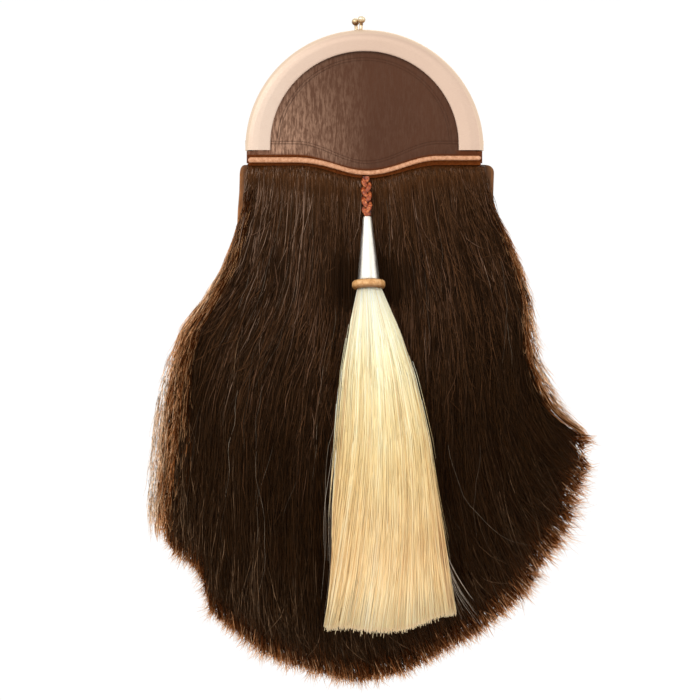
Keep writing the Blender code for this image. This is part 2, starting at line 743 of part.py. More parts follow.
def make_tassel(pale_hair, parent):
    """Neck inside the cone and ring, and a fall of locks that widens to a trimmed end."""
    rings = []
    last = TASSEL_ROWS[-1]
    top = TASSEL_ROWS[0].level
    for row in TASSEL_ROWS:
        half = (row.right - row.left) / 2
        middle = (row.right + row.left) / 2
        drop = (top - row.level) / (top - last.level)
        loose = ease((drop - 0.08) * 3)
        centre = tassel_centre(row)
        ring = []
        for k in range(TASSEL_POINTS):
            turn = 2 * math.pi * k / TASSEL_POINTS
            lock = math.cos(TASSEL_LOCKS * turn)
            grow = 1 + TASSEL_RELIEF * loose * lock / half
            x = middle + half * math.cos(turn) * grow
            y = centre + row.half_depth * math.sin(turn) * grow
            z = row.level
            if row is last:
                z += TASSEL_TIP_RISE * ease((x - middle) / half) - TASSEL_TIP_RELIEF * (lock + 1) / 2
            ring.append((x, y, z))
        rings.append(ring)
    return solid("tassel", *loft(rings), pale_hair, parent, smooth_angle=60)


# ---------------------------------------------------------------- assembly

def main():
    start_empty()
    carrier = bpy.data.objects.new("sporran", None)
    bpy.context.collection.objects.link(carrier)
    hang_depth = SHEET_FACE + GAP + TUNNEL_DEPTH / 2
    carrier.location = Vector((0, -hang_depth, -TUNNEL_TOP)) * MM

    nickel = material("satin_nickel", (0.80, 0.66, 0.58), 0.35, 1.0)
    polished = material("polished_nickel", (0.90, 0.90, 0.88), 0.12, 1.0)
    leather = material("dark_leather", (0.10, 0.055, 0.035), 0.5)
    gusset_leather = material("brown_leather", (0.09, 0.035, 0.015), 0.5)
    tan = material("tan_leather", (0.75, 0.36, 0.20), 0.45)
    plait = material("red_brown_leather", (0.42, 0.13, 0.05), 0.45)
    gold = material("golden_leather", (0.60, 0.33, 0.12), 0.45)
    dark_hair = material("dark_horsehair", (0.025, 0.014, 0.008), 0.4)
    pale_hair = material("pale_horsehair", (0.85, 0.74, 0.48), 0.45)

    make_frame(CLASP[0], -1, nickel, carrier)
    make_frame(CLASP[1], 1, nickel, carrier)
    make_hinge_pins(nickel, carrier)
    make_cantle_leather(leather, carrier)
    make_piping(tan, carrier)
    make_back_panel(leather, carrier)
    make_front_panel(leather, carrier)
    make_gusset(gusset_leather, carrier)
    make_belt_loop(leather, carrier)
    make_hair(dark_hair, carrier)
    make_braid(plait, carrier)
    make_cone(polished, carrier)
    make_ring(gold, carrier)
    make_tassel(pale_hair, carrier)


main()
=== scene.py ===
"""Looks of the horsehair sporran pouch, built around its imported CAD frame.

Lengths are in millimetres in the pouch's design frame: X to the right, Y to the back,
Z up, with z = 0 at the metal frame's lower ends and y = 0 where its two halves meet.
"""
import math

import bmesh
import bpy
import numpy as np
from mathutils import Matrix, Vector
from mathutils.bvhtree import BVHTree


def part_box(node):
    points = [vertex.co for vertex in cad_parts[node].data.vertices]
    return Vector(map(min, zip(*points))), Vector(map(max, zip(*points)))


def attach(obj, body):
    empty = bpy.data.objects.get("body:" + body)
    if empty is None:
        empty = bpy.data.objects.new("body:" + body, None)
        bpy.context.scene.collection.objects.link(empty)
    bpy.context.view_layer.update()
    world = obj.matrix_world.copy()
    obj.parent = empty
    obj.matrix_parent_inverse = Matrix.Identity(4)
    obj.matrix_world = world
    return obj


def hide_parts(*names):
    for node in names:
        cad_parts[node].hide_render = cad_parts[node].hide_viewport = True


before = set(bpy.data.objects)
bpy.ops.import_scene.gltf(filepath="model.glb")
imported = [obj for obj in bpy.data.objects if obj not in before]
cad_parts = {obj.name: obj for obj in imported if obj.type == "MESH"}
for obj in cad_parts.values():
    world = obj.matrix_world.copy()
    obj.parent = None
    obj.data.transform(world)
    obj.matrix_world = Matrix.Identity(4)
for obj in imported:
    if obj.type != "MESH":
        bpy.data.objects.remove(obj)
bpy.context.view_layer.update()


def table(columns, *rows):
    """Rows of values with named columns."""
    return np.rec.fromrecords(rows, names=columns.split())


MM = 0.001                      # metres in a millimetre
GAP = 0.3                       # clearance between neighbouring pieces
LEATHER = 1.8                   # wall thickness
SHEET_FACE = 8.0                # outer faces of both leathers in the frame, from y = 0
BAG_BOTTOM = -125.0

# The design frame's origin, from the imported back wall
_low, _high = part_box("back_panel")
SHIFT = np.array([0.0, _high.y / MM - SHEET_FACE, _low.z / MM - BAG_BOTTOM])

# Metal frame: its arcs, and the corners of its channel section, in from one edge
FRAME_RADIUS, FRAME_RISE = 80.0, 1.0
OPENING_RADIUS, OPENING_RISE = 63.1, 3.2
FRAME_END_TURN = math.pi / 34   # the arcs' rise starts over this angle at each end
FRAME_STEPS = 108
FRAME_ROUNDING = 0.7
CHANNEL = table("edge reach y", ("inner", 0.0, -8.3), ("inner", 0.0, -9.2), ("inner", 0.9, -9.7),
                ("inner", 8.0, -10.4), ("outer", 4.6, -10.0), ("outer", 1.9, -8.6), ("outer", 0.5, -6.6),
                ("outer", 0.0, -4.4), ("outer", 0.0, -0.15), ("outer", 1.2, -0.15), ("outer", 1.2, -4.8),
                ("outer", 2.4, -7.4), ("outer", 4.4, -8.3))
PIN_LEVEL = 5.0
PIN_RADIUS, PIN_HEAD = 1.5, 2.4
PIN_INNER, PIN_OUTER = 72.0, 79.7
BALL_RADIUS, STEM_RADIUS = 2.65, 1.2
CLASP = (("front", Vector((-2.5, -2.6, 79.5)), Vector((-1.9, -2.0, 88.1))),    # half, stem's foot, ball
         ("back", Vector((-5.2, 2.6, 79.5)), Vector((-5.9, 2.0, 86.8))))

# Leather in the frame and the strip under it
SHEET_RADIUS = 74.5
STRIP_HALF = 79.0
STRIP_TOP = -0.5
OGEE_MIDDLE, OGEE_HALF = 2.0, 48.0
PIPING_LEVEL, PIPING_DIP, PIPING_RADIUS = -5.4, 9.9, 1.35
PIPING_SLACK = 1.35             # how far the cord hangs at its left
STRIP_EDGE_LEVEL, STRIP_EDGE_DIP = -8.8, 8.6
TOOLED_LEVEL, TOOLED_DIP = 4.2, 13.2    # lower tooled line at the sides, and its drop in the middle
TOOLED_INSET = 4.4              # tooled line round the arch, in from the frame's opening
TOOLED_PITCH = 1.7              # between the two lines of a pair
TOOLED_WIDTH, TOOLED_DEPTH = 0.42, 0.35

# Bag: its walls, and the gusset's bulge with its shares at the left and the right
BAG_HALF, BAG_CORNER = 78.0, 40.0
SEAM_INSET = 3.4
GUSSET_LEATHER, GUSSET_FLANGE, GUSSET_BULGE = 1.6, 6.0, 8.0
GUSSET_ROWS = table("level bulge left right", (-9.6, 4.2, 0.72, 1.15), (-9.9, 5.3, 0.72, 1.15),
                    (-10.5, 6.2, 0.72, 1.15), (-11.3, 6.95, 0.72, 1.15), (-12.4, 7.6, 0.72, 1.15),
                    (-13.9, 7.95, 0.72, 1.15), (-15.6, 8.0, 0.74, 1.15), (-28.0, 7.8, 0.80, 1.12),
                    (-40.0, 8.0, 0.90, 1.06), (-52.0, 7.7, 1.0, 1.0), (-65.0, 8.0, 1.0, 1.0))
PANEL_ROWS = table("level side middle", (-3, -4.0, -4.0), (-20, -4.0, -4.0), (-45, -7.0, -7.8),
                   (-70, -9.0, -11.0), (-90, -10.5, -12.0), (-110, -11.5, -14.5), (-125, -12.0, -13.5))
STITCH_PITCH, STITCH_RADIUS = 3.0, 0.33
STITCH_REACH = 0.93             # half a stitch's length
STITCH_ROWS = table("along out thick", (-1.0, -0.9, 0.6), (-0.8, 0.22, 0.9), (0.0, 0.55, 1.0),
                    (0.8, 0.22, 0.9), (1.0, -0.9, 0.6))

# Strap tunnel on the back
TUNNEL_WIDTH, TUNNEL_TOP, TUNNEL_BOTTOM, TUNNEL_DEPTH = 80.0, 40.0, 12.0, 6.0
TUNNEL_MARGIN, TUNNEL_SEAM = 8.0, 4.96      # sewn above and below the passage, and its seam
TUNNEL_LEATHER, TUNNEL_STEP = 2.0, 3.0

# Tassel hardware
CONE_TOP, CONE_TOP_RADIUS = Vector((1.8, -21.5, -45.0)), 2.9
CONE_MOUTH, CONE_MOUTH_RADIUS = Vector((2.7, -26.6, -87.3)), 7.35
CONE_WALL = 0.8
# The cone's dim streak is a painted reflection.
CONE_REFLECTION_STREAK = 2.2               # middle of the dim streak, to the right of the cone's axis
RING_RADIUS, RING_BORE, RING_HEIGHT = 11.0, 7.3, 5.8
RING_SIDES = 24
BRAID_TOP = Vector((1.0, -9.6, -17.9))
BRAID_WIDTH, BRAID_STRAND, BRAID_TURNS = 7.4, 1.55, 1.3
BRAID_GATHER = 0.45             # share of its width at its ends
BRAID_STEPS = 72

# Curtain of hair: the sides of its full mass and how far loose hairs stand out past them,
# and the mass's trimmed lower edge from the left side's end to the right side's
SIDE_ROWS = table("level left right loose_left loose_right", (-12, -78.4, 80.6, 0, 0),
                  (-27, -78.9, 83.0, 0.7, 0.7), (-40, -80.2, 86.0, 1.6, 1.6), (-60, -84.9, 94.6, 3.2, 3.5),
                  (-80, -90.6, 101.8, 5.5, 5), (-100, -101.4, 106.5, 7, 6.5), (-120, -113.0, 107.6, 10, 8.5),
                  (-140, -119.0, 109.2, 13, 10), (-160, -122.6, 117.4, 15, 11), (-172, -123.6, 124.0, 16, 10),
                  (-181, -124.4, 133.4, 17, 8), (-186.5, -124.8, 141.2, 17.2, 5),
                  (-191.5, -125.2, 148.4, 17.5, 2), (-221, -128.9, 148.4, 15.5, 2),
                  (-238, -131.4, 148.4, 13.5, 2), (-253, -133.0, 148.4, 11.5, 2))
TIP_ROWS = table("across level", (-133.0, -253), (-130.4, -262), (-124.8, -269), (-117.5, -274.5),
                 (-110.2, -280), (-106.5, -288.5), (-104.5, -298), (-102.0, -307), (-94.5, -314),
                 (-80.0, -325.3), (-64.9, -335.7), (-48.0, -343.5), (-30.3, -348.3), (-12.5, -352.6),
                 (-3.2, -354), (6.0, -352.5), (24.0, -348.4), (40.8, -340.9), (56.1, -331.4), (72.4, -323.3),
                 (82.0, -316.5), (91.5, -308), (101.4, -299.5), (107.5, -293.5), (113.3, -286),
                 (116.5, -277.5), (121.5, -269), (127.5, -262), (133.4, -254), (136.2, -246),
                 (137.8, -236.5), (140.5, -227.5), (145.5, -219.5), (149.0, -211), (145.5, -201.5),
                 (148.4, -191.5))
HAIR_START = 0.4                # the hair leaves the strip this far below its edge
HAIR_END = 0.985                # share of the way down at which most hairs end
HAIR_ROOT = -0.012              # and the one at which they start, behind the strip
HAIR_OUT = 0.012                # and the one at which they have come out from behind it
SIDE_SPILL = 0.012              # share by which strands may pass the curtain's sides
GROOVE_MIDDLE, GROOVE_HALF, GROOVE_TOP = 3.0, 34.0, -70.0   # where the tassel presses the hair
CLUMPS = 110                    # locks across the curtain
ROOT_GROW = (0, 0.012, 0.03, 0.07, 0.15, 0.28, 0.43, 0.6, 0.8, 1)   # closer points near the heading
LONG_HAIRS, SHORT_HAIRS, BACK_HAIRS, STRAY_HAIRS = 1850, 4100, 1600, 36     # short ones in each half
END_HAIRS, END_THICK, END_TUFTS = 5900, 1250, 62
# Loose hairs down each side: how many, how many of them thick, how they crowd to the mass, how far
# out the thick ones are, the share that lies on the mass and how far in, how far they pass its end,
# their thickness and wander at the outside, and how dim they are low and high up
RIM_ROWS = table("name count thick sparse body within deepest past_end slim wander dim_low dim_high",
                 ("left", 3800, 1200, 1.25, 0.58, 0.20, 11.0, 10, 0.85, 0.07, 0.8, 0.55),
                 ("right", 1650, 340, 1.9, 0.20, 0.10, 6.0, 2, 1.0, 0.15, 1.0, 0.5))

# Tassel: its left and right edges and half depth
TASSEL_ROWS = table("level left right depth", (-80, -2.0, 7.0, 4.4), (-88, -3.3, 8.8, 5.8),
                    (-94, -3.9, 9.7, 6.5), (-106, -7.5, 16.5, 8.5), (-121, -9.9, 23.0, 10.0),
                    (-150, -14.3, 32.3, 12.0), (-194, -17.1, 41.9, 13.0), (-235, -20.4, 47.9, 13.5),
                    (-261, -21.1, 52.6, 13.0), (-295, -21.8, 57.3, 12.0), (-317, -23.8, 62.0, 11.0))
TASSEL_TIP_RISE = 12.0          # of the trimmed ends towards the right
TASSEL_TWIST = 0.25             # turn of the whole tassel from neck to tips
TASSEL_SWEEP = 0.5              # further turn of its left half just over the tips
TASSEL_HAIRS, TASSEL_ENDS, TASSEL_STRAYS = 2150, 700, 46
FLICK_HAIRS, FLICK_LEFT = 18, 5     # greyer loose hairs, and how many of them are at the left

TONES = 64                      # shades of single hairs in each piece of hair
PALER_DOWN = ((0.0, (0.7, 0.7, 0.7)), (1.0, (1.0, 1.0, 1.0)))   # brightness along a loose single hair

# Studio, as the photograph is framed
PHOTO_SIZE = 700                # pixels of the photograph's side
PIXEL = 0.67                    # millimetres in one of its pixels, at the frame's face
PHOTO_MIDDLE = (-9.7, -134.0)   # design (x, z) at the photograph's centre
CAMERA_AWAY, FRAME_FRONT = 3000.0, 10.0     # from y = 0 to the camera and to the frame's face
SENSOR = 36.0
FLOOR_HALF, FLOOR_LEVEL = 2.2, -0.75    # metres
AIM = (0.0, -0.02, -0.15)


# ---------------------------------------------------------------- numbers and meshes

def mix(first, second, share):
    """Value that lies the given share of the way from first to second."""
    return first + (second - first) * share


def ease(share):
    """Smooth step from 0 to 1."""
    share = np.clip(share, 0.0, 1.0)
    return share * share * (3 - 2 * share)


def read(rows, column, at):
    """Values of a column at levels, in a table that runs downwards."""
    return np.interp(at, rows.level[::-1], rows[column][::-1])


def spots(x, y, z):
    """Points from coordinates, each a number or a grid of them."""
    return np.stack(np.broadcast_arrays(x, y, z), axis=-1)


def to_row(points):
    """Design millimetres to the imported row's metres."""
    return (np.asarray(points, float) + SHIFT) * MM


def add_piece(mesh, name, finish, stands_for=None):
    """Object with the mesh, riding on the only body."""
    made = bpy.data.objects.new(name, mesh)
    bpy.context.collection.objects.link(made)
    mesh.materials.append(finish.material)
    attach(made, "root")
    if stands_for:
        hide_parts(stands_for)
    return made


def solid(name, body, finish, stands_for=None, smooth_angle=40):
    """Piece from (points, faces) in design millimetres, with its faces pointing out."""
    mesh = bpy.data.meshes.new(name)
    mesh.from_pydata(to_row([tuple(point) for point in body[0]]).tolist(), [], body[1])
    work = bmesh.new()
    work.from_mesh(mesh)
    bmesh.ops.recalc_face_normals(work, faces=work.faces)
    work.to_mesh(mesh)
    work.free()
    mesh.shade_smooth()
    mesh.set_sharp_from_angle(angle=math.radians(smooth_angle))
    return add_piece(mesh, name, finish, stands_for)


def hold_values(mesh, **named):
    """Give a mesh one number a point under each name, for its material to read."""
    for name, values in named.items():
        mesh.attributes.new(name, "FLOAT", "POINT").data.foreach_set("value", np.asarray(values, np.float32))


def join_bodies(bodies):
    """One (points, faces) body from several."""
    points, faces = [], []
    for more_points, more_faces in bodies:
        faces += [tuple(len(points) + i for i in face) for face in more_faces]
        points += list(more_points)
    return points, faces


def loft(rings, closed=True):
    """Body through rings that have equal point counts."""
    count, last = len(rings[0]), (len(rings) - 1) * len(rings[0])
    faces = [tuple(range(count)), tuple(range(last, last + count))] if closed else []
    for low in range(0, last, count):
        for i in range(count):
            j = (i + 1) % count
            faces.append((low + i, low + j, low + count + j, low + count + i))
    return [point for ring in rings for point in ring], faces


def thick_sheet(front, back):
    """Closed body between two grids of points, given as equal lists of rows."""
    points, faces = loft([[*near, *far[::-1]] for near, far in zip(front, back)], closed=False)
    count = 2 * len(front[0])
    for low in (0, len(points) - count):
        faces += [(low + i, low + i + 1, low + count - 2 - i, low + count - 1 - i)
                  for i in range(count // 2 - 1)]
    return points, faces


def tube(route, radii, sides, flat=1.0):
    """Closed tube along a route; flat is its depth over its width."""
    route = [Vector(point) for point in route]
    rings = []
    for before, point, after, radius in zip(route[:1] + route, route, route[1:] + route[-1:], radii):
        along = (after - before).normalized()
        side = along.cross(Vector((0, 1, 0))).normalized()
        up = side.cross(along)
        turns = [math.tau * k / sides for k in range(sides)]
        rings.append([point + float(radius) * (math.cos(turn) * side + flat * math.sin(turn) * up)
                      for turn in turns])
    return loft(rings)


def turned(profile, start, end, sides, ripple=None):
    """Body turned about the axis from start to end, from a (radius, height) profile."""
    place = (end - start).normalized().to_track_quat("Z", "Y")
    points, faces, loops = [], [], []
    for row, (radius, height) in enumerate(profile):
        turns = [math.tau * k / sides for k in range(sides if radius else 1)]
        loops.append([len(points) + k % len(turns) for k in range(sides)])
        for turn in turns:
            grown = radius + (ripple(turn, row) if ripple else 0)
            points.append(start + place @ Vector((grown * math.cos(turn), grown * math.sin(turn), height)))
    if all(radius for radius, _ in profile):
        loops.append(loops[0])
    for first, second in zip(loops, loops[1:]):
        for k in range(sides):
            after = (k + 1) % sides
            face = tuple(dict.fromkeys((first[k], first[after], second[after], second[k])))
            if len(face) > 2:
                faces.append(face)
    return points, faces


def rounded(corners, radius, steps=4):
    """Closed outline of points with each corner rounded off."""
    outline = []
    for i, corner in enumerate(corners):
        before, after = corners[i - 1], corners[(i + 1) % len(corners)]
        first = corner.lerp(before, min(0.48, radius / (before - corner).length))
        last = corner.lerp(after, min(0.48, radius / (after - corner).length))
        outline += [first.lerp(corner, k / steps).lerp(corner.lerp(last, k / steps), k / steps)
                    for k in range(steps + 1)]
    return outline


# ---------------------------------------------------------------- materials

class Signal:
    """Output of a shader node, with short calls for the nodes that may follow it."""

    def __init__(self, finish, socket):
        self.finish, self.socket = finish, socket

    def maths(self, operation, other=0.0):
        """Result of a Math node."""
        return self.finish.node("Math", 0, {0: self, 1: other}, operation=operation)

    def __add__(self, other):
        return self.maths("ADD", other)

    def __sub__(self, other):
        return self.maths("SUBTRACT", other)

    def __mul__(self, other):
        return self.maths("MULTIPLY", other)

    def __abs__(self):
        return self.maths("ABSOLUTE")

    def span(self, low, high, start=0.0, end=1.0):
        """Factor from low to high turned into start to end."""
        values = {"Value": self, "From Min": low, "From Max": high, "To Min": start, "To Max": end}
        return self.finish.node("MapRange", "Result", values)

    def ramp(self, *stops):
        """Colours at places along a factor."""
        made = self.finish.node("ValToRGB", "Color", {"Fac": self})
        elements = made.socket.node.color_ramp.elements
        for i, (place, colour) in enumerate(stops):
            stop = elements[i] if i < 2 else elements.new(place)
            stop.position, stop.color = place, (*colour, 1.0)
        return made

    def blend(self, first, second):
        """Mix of two colours by this factor."""
        return self.finish.node("Mix", 2, {0: self, 6: first, 7: second}, data_type="RGBA")

    def scaled(self, factor):
        """Colour times a factor."""
        return self.finish.node("VectorMath", 0, {0: self, 3: factor}, operation="SCALE")


class Finish:
    """Procedural material on a Principled shader, and the record's slot for its pieces."""

    def __init__(self, name, slot, roughness, metallic=0.0, **inputs):
        self.material, self.slot = bpy.data.materials.new(name), slot
        self.material.use_nodes = True
        self.tree = self.material.node_tree
        self.inputs = self.tree.nodes["Principled BSDF"].inputs
        for socket, value in {"Roughness": roughness, "Metallic": metallic, **inputs}.items():
            self.feed(self.inputs[socket.replace("_", " ")], value)

    def feed(self, socket, value):
        """Link or set an input."""
        if isinstance(value, Signal):
            self.tree.links.new(value.socket, socket)
        else:
            socket.default_value = (*value, 1.0) if socket.type == "RGBA" else value

    def node(self, kind, output, values=(), **settings):
        """Chosen output of a new node with its settings and inputs."""
        made = self.tree.nodes.new("ShaderNode" + kind)
        for name, value in settings.items():
            setattr(made, name, value)
        for socket, value in dict(values).items():
            self.feed(made.inputs[socket], value)
        return Signal(self, made.outputs[output])

    def place(self, stretch=(1, 1, 1)):
        """Position on the object, in stretched metres."""
        return self.node("Mapping", "Vector", {"Vector": self.node("TexCoord", "Object"), "Scale": stretch})

    def position(self, axis):
        """Position on the object along an axis, in metres."""
        return self.node("SeparateXYZ", axis, {0: self.place()})

    def noise(self, scale, detail, stretch=(1, 1, 1), rough=0.55, warp=0.0, at=None):
        """Cloudy pattern from 0 to 1."""
        values = {"Vector": at or self.place(stretch), "Scale": scale, "Detail": detail,
                  "Roughness": rough, "Distortion": warp}
        return self.node("TexNoise", "Fac", values)

    def attribute(self, name):
        """Value that the mesh holds under a name."""
        return self.node("Attribute", "Fac", attribute_name=name)

    def dress(self, colour, roughness=None, height=None, distance=0.0, strength=1.0):
        """Give the shader its colour, its roughness and a bump of that height, in metres."""
        self.feed(self.inputs["Base Color"], colour)
        if roughness:
            self.feed(self.inputs["Roughness"], roughness)
        if height:
            values = {"Height": height, "Distance": distance, "Strength": strength}
            self.feed(self.inputs["Normal"], self.node("Bump", "Normal", values))
        return self


def satin_metal():
    """Warm satin nickel: pinkish, with painted light that makes it paler towards the left, a painted highlight
    on its outer rim, and fine rubbing marks.
    """
    made = Finish("satin_nickel", "satin_metal", 0.6, 1.0)
    x, rise = made.position("X"), made.position("Z") - to_row((0, 0, FRAME_RISE))[2]
    # Painted light: the colour grows paler towards the left, where the key light falls.
    across = x.span(0.01, -0.085) + made.noise(26.0, 2.0) * 0.5
    tint = across.ramp((0.15, (0.705, 0.545, 0.45)), (0.6, (0.735, 0.58, 0.485)), (1.0, (0.765, 0.63, 0.54)))
    marks = made.noise(420.0, 3.0, (1, 1, 6))
    tint = marks.span(0.3, 0.8, 0.0, 0.10).blend(tint, (0.62, 0.50, 0.42))
    away = (x * x + rise * rise).maths("SQRT")
    # Painted highlight: a paler, warmer colour along the rounded outer rim.
    rim = away.span((FRAME_RADIUS - 3.2) * MM, (FRAME_RADIUS - 1.2) * MM, 0.0, 0.7)
    return made.dress(rim.blend(tint, (0.92, 0.76, 0.60)), marks.span(0.3, 0.7, 0.56, 0.66),
                      made.noise(1600.0, 2.0), 0.00001, 0.5)


def pin_metal():
    """Polished nickel with faint smudges."""
    made = Finish("polished_nickel", "satin_metal", 0.10, 1.0)
    smudge = made.noise(160.0, 3.0, (1, 1, 0.4))
    tint = smudge.ramp((0.3, (0.93, 0.80, 0.66)), (0.75, (0.80, 0.66, 0.52)))
    return made.dress(tint, smudge.span(0.35, 0.75, 0.10, 0.19))


def clasp_metal():
    """Polished nickel with painted shading by height: a painted dark reflection of the hollow between the two
    balls low down, and a painted highlight towards the top.
    """
    made = Finish("clasp_nickel", "satin_metal", 0.24, 1.0)
    blur = (made.noise(700.0, 2.0) - 0.5) * 0.0012
    # Painted shade and reflection: dark low down on the balls, near white at their tops.
    rise = (made.position("Z") + blur).span(0.0438, 0.0502)
    tint = rise.ramp((0.0, (0.78, 0.62, 0.44)), (0.10, (0.16, 0.085, 0.04)), (0.30, (0.22, 0.125, 0.06)),
                     (0.52, (0.62, 0.46, 0.28)), (0.78, (0.90, 0.78, 0.58)), (1.0, (0.98, 0.92, 0.80)))
    return made.dress(tint, blur.span(-0.0003, 0.0003, 0.2, 0.3))


def cone_metal():
    """Polished metal in even light, with a painted dark reflection down the cone: a dim streak to the right of
    its middle.
    """
    made = Finish("polished_cone", "polished_metal", 0.36, 1.0)
    lean = (CONE_MOUTH.x - CONE_TOP.x) / (CONE_MOUTH.z - CONE_TOP.z)
    off = abs(made.position("X") - made.position("Z") * lean - CONE_REFLECTION_STREAK * MM)
    streak = made.noise(620.0, 3.0, (1, 1, 0.06))
    # Painted reflection: darker along the streak.
    dim = off.span(0.0, 0.0013, 0.75, 0.0) + streak.span(0.4, 0.8, 0.0, 0.35)
    return made.dress(dim.blend((0.97, 0.955, 0.905), (0.74, 0.74, 0.665)), streak.span(0.35, 0.75, 0.32, 0.5))


def cantle_leather():
    """Dark leather with fine upright wrinkles, painted highlights on its ridges at the lower left, tooled
    lines, a painted shadow under the frame's lip, and red-brown colour with painted shade along its lower edge.
    """
    made = Finish("grained_leather", "dark_leather", 0.5, Specular_IOR_Level=0.16)
    x, z = made.position("X"), made.position("Z")
    height = made.noise(900.0, 3.0, (1.0, 1.0, 0.16), 0.62, 0.6)
    height = height + made.noise(520.0, 2.0, (0.8, 1.0, 0.45)) * 0.35
    tint = made.noise(30.0, 2.0).blend((0.064, 0.0235, 0.0108), (0.090, 0.034, 0.0162))
    tint = height.span(0.60, 0.86).blend(tint, (0.088, 0.0375, 0.0203))
    # Painted highlight: paler ridges towards the lower left, where the key light catches the wrinkles.
    left_brightening = x.span(0.004, -0.058) * z.span(0.022, -0.040, 0.25, 1.0) * height.span(0.58, 0.82, 0.22, 1.0)
    tint = left_brightening.blend(tint, (0.45, 0.27, 0.185))
    grooves, *others = [abs(made.attribute(line) - pitch).span(TOOLED_WIDTH, 0.1)
                        for line in ("strip_line", "arch_line") for pitch in (0.0, TOOLED_PITCH)]
    for groove in others:
        grooves = grooves.maths("MAXIMUM", groove)
    # Tooled lines darkened, more towards the left: partly their own colour, partly painted shade in the
    # grooves.
    tint = (grooves * x.span(0.03, -0.05, 0.22, 0.50)).blend(tint, (0.030, 0.011, 0.005))
    # Painted shadow under the frame's inner lip, along the top of the arch.
    painted_lip_shadow = made.attribute("arch_line").span(-2.3, -3.7, 0.0, 0.6) * z.span(0.006, 0.024)
    tint = painted_lip_shadow.blend(tint, (0.028, 0.010, 0.003))
    # Red-brown along the piping and under the frame's ends: partly the leather's colour, partly painted shade.
    tint = made.attribute("edge").blend(tint, (0.108, 0.0265, 0.0042))
    return made.dress(tint, height.span(0.5, 1.0, 0.56, 0.40), height - grooves, 0.00020, 0.8)


def bag_leather():
    """Plain pebbled leather."""
    made = Finish("bag_leather", "dark_leather", 0.5, Specular_IOR_Level=0.4)
    values = {"Vector": made.place(), "Scale": 520.0}
    pebble = made.node("TexVoronoi", "Distance", values, feature="DISTANCE_TO_EDGE").span(0.0, 0.3)
    tint = pebble.blend((0.040, 0.018, 0.010), (0.085, 0.040, 0.024))
    tint = made.noise(34.0, 3.0).span(0.3, 0.8, 0.0, 0.45).blend(tint, (0.022, 0.0099, 0.0055))
    fine = made.noise(1144.0, 3.0)
    return made.dress(tint, fine.span(0.3, 0.7, 0.44, 0.6), pebble + fine * 0.4, 0.00012, 0.7)


def gusset_leather():
    """Brown leather, orange-brown in streaks where it stands out at the sides, and darker at the right than at
    the left.
    """
    made = Finish("brown_leather", "brown_leather", 0.5, Specular_IOR_Level=0.2)
    x, streak = made.position("X"), made.noise(380.0, 3.0, (1, 1, 0.2))
    ridge = abs(x).span(0.0805, 0.0855) * streak.span(0.3, 0.65)
    tint = ridge.blend(streak.blend((0.075, 0.026, 0.007), (0.15, 0.056, 0.016)), (0.40, 0.155, 0.040))
    fine = made.noise(900.0, 3.0)
    return made.dress(tint.scaled(x.span(-0.04, 0.04, 1.12, 0.55)), fine.span(0.3, 0.7, 0.36, 0.52),
                      fine, 0.00010, 0.6)


def rolled_leather(name, slot, low, mid, high, roughness, painted_shade_colour=None, specular=0.5):
    """Smooth leather with streaks of three shades, and a painted shade of the given colour where its mesh marks
    it as turned from the light.
    """
    made = Finish(name, slot, roughness, Specular_IOR_Level=specular)
    tint = made.noise(520.0, 4.0, rough=0.6).ramp((0.3, low), (0.52, mid), (0.74, high))
    # Painted shade: the mesh's value marks undersides and hollows, which take the shade colour.
    if painted_shade_colour:
        tint = made.attribute("hidden").blend(tint, painted_shade_colour)
    fine = made.noise(1500.0, 3.0)
    return made.dress(tint, fine.span(0.3, 0.7, roughness - 0.08, roughness + 0.1), fine, 0.00007, 0.6)


def thread():
    """Waxed thread."""
    made = Finish("waxed_thread", "tan_leather", 0.5)
    tint = made.noise(1400.0, 2.0).blend((0.16, 0.07, 0.03), (0.34, 0.17, 0.08))
    return made.dress(tint, None, made.noise(3000.0, 2.0), 0.00004, 0.6)


def hair_finish(name, slot, shades, lower, tips, tip_start, roughness, specular, tint, glint=(0.55, 1.7)):
    """Strands: shades of single hairs, painted glints as brighter and darker stretches along them, and their
    tips' colour.
    """
    made = Finish(name, slot, roughness, Specular_IOR_Level=specular, Specular_Tint=tint)
    tone, along = made.attribute("tone"), made.attribute("along")
    spot = made.node("CombineXYZ", 0, {0: tone * (TONES * 2.3), 1: along * 7.0})
    # Painted glints: brighter and darker stretches along each strand, where single hairs would catch the light.
    bright = made.noise(1.0, 2.0, at=spot).span(0.36, 0.66, *glint)
    shade = made.node("Mix", 2, {0: 1.0, 6: tone.ramp(*shades), 7: along.ramp(*lower)},
                      data_type="RGBA", blend_type="MULTIPLY")
    return made.dress(along.span(tip_start, 1.0).blend(shade.scaled(bright), tips))


def core_hair(name, slot, dark, light, stretch, scale):
    """Depth of the hair behind its strands, in fine streaks."""
    made = Finish(name, slot, 0.7, Specular_IOR_Level=0.06)
    streak = made.noise(scale, 4.0, (1, 1, stretch), 0.6)
    return made.dress(streak.ramp((0.35, dark), (0.75, light)), None, streak, 0.0008, 0.8)


# ---------------------------------------------------------------- outlines

def dip(across):
    """Shape of the ogee: 1 at the middle of the strip's lower edge, 0 at its sides."""
    return np.cos(math.pi / 2 * np.minimum(np.abs(across - OGEE_MIDDLE) / OGEE_HALF, 1)) ** 2


def strip_edge(across):
    """Level of the strip's lower edge."""
    return STRIP_EDGE_LEVEL - STRIP_EDGE_DIP * dip(across)


def piping_level(across):
    """Level of the line that the piping follows."""
    return PIPING_LEVEL - PIPING_DIP * dip(across)


def cord_level(across):
    """Level of the piping cord's centre, which hangs a little at its left."""
    return piping_level(across) - PIPING_SLACK * ease((-18 - across) / 26)


def arch(across):
    """Upper edge of the leathers that the frame holds."""
    curve = FRAME_RISE + np.sqrt(np.maximum(SHEET_RADIUS ** 2 - across ** 2, 0))
    return np.where(np.abs(across) < SHEET_RADIUS, curve, STRIP_TOP)


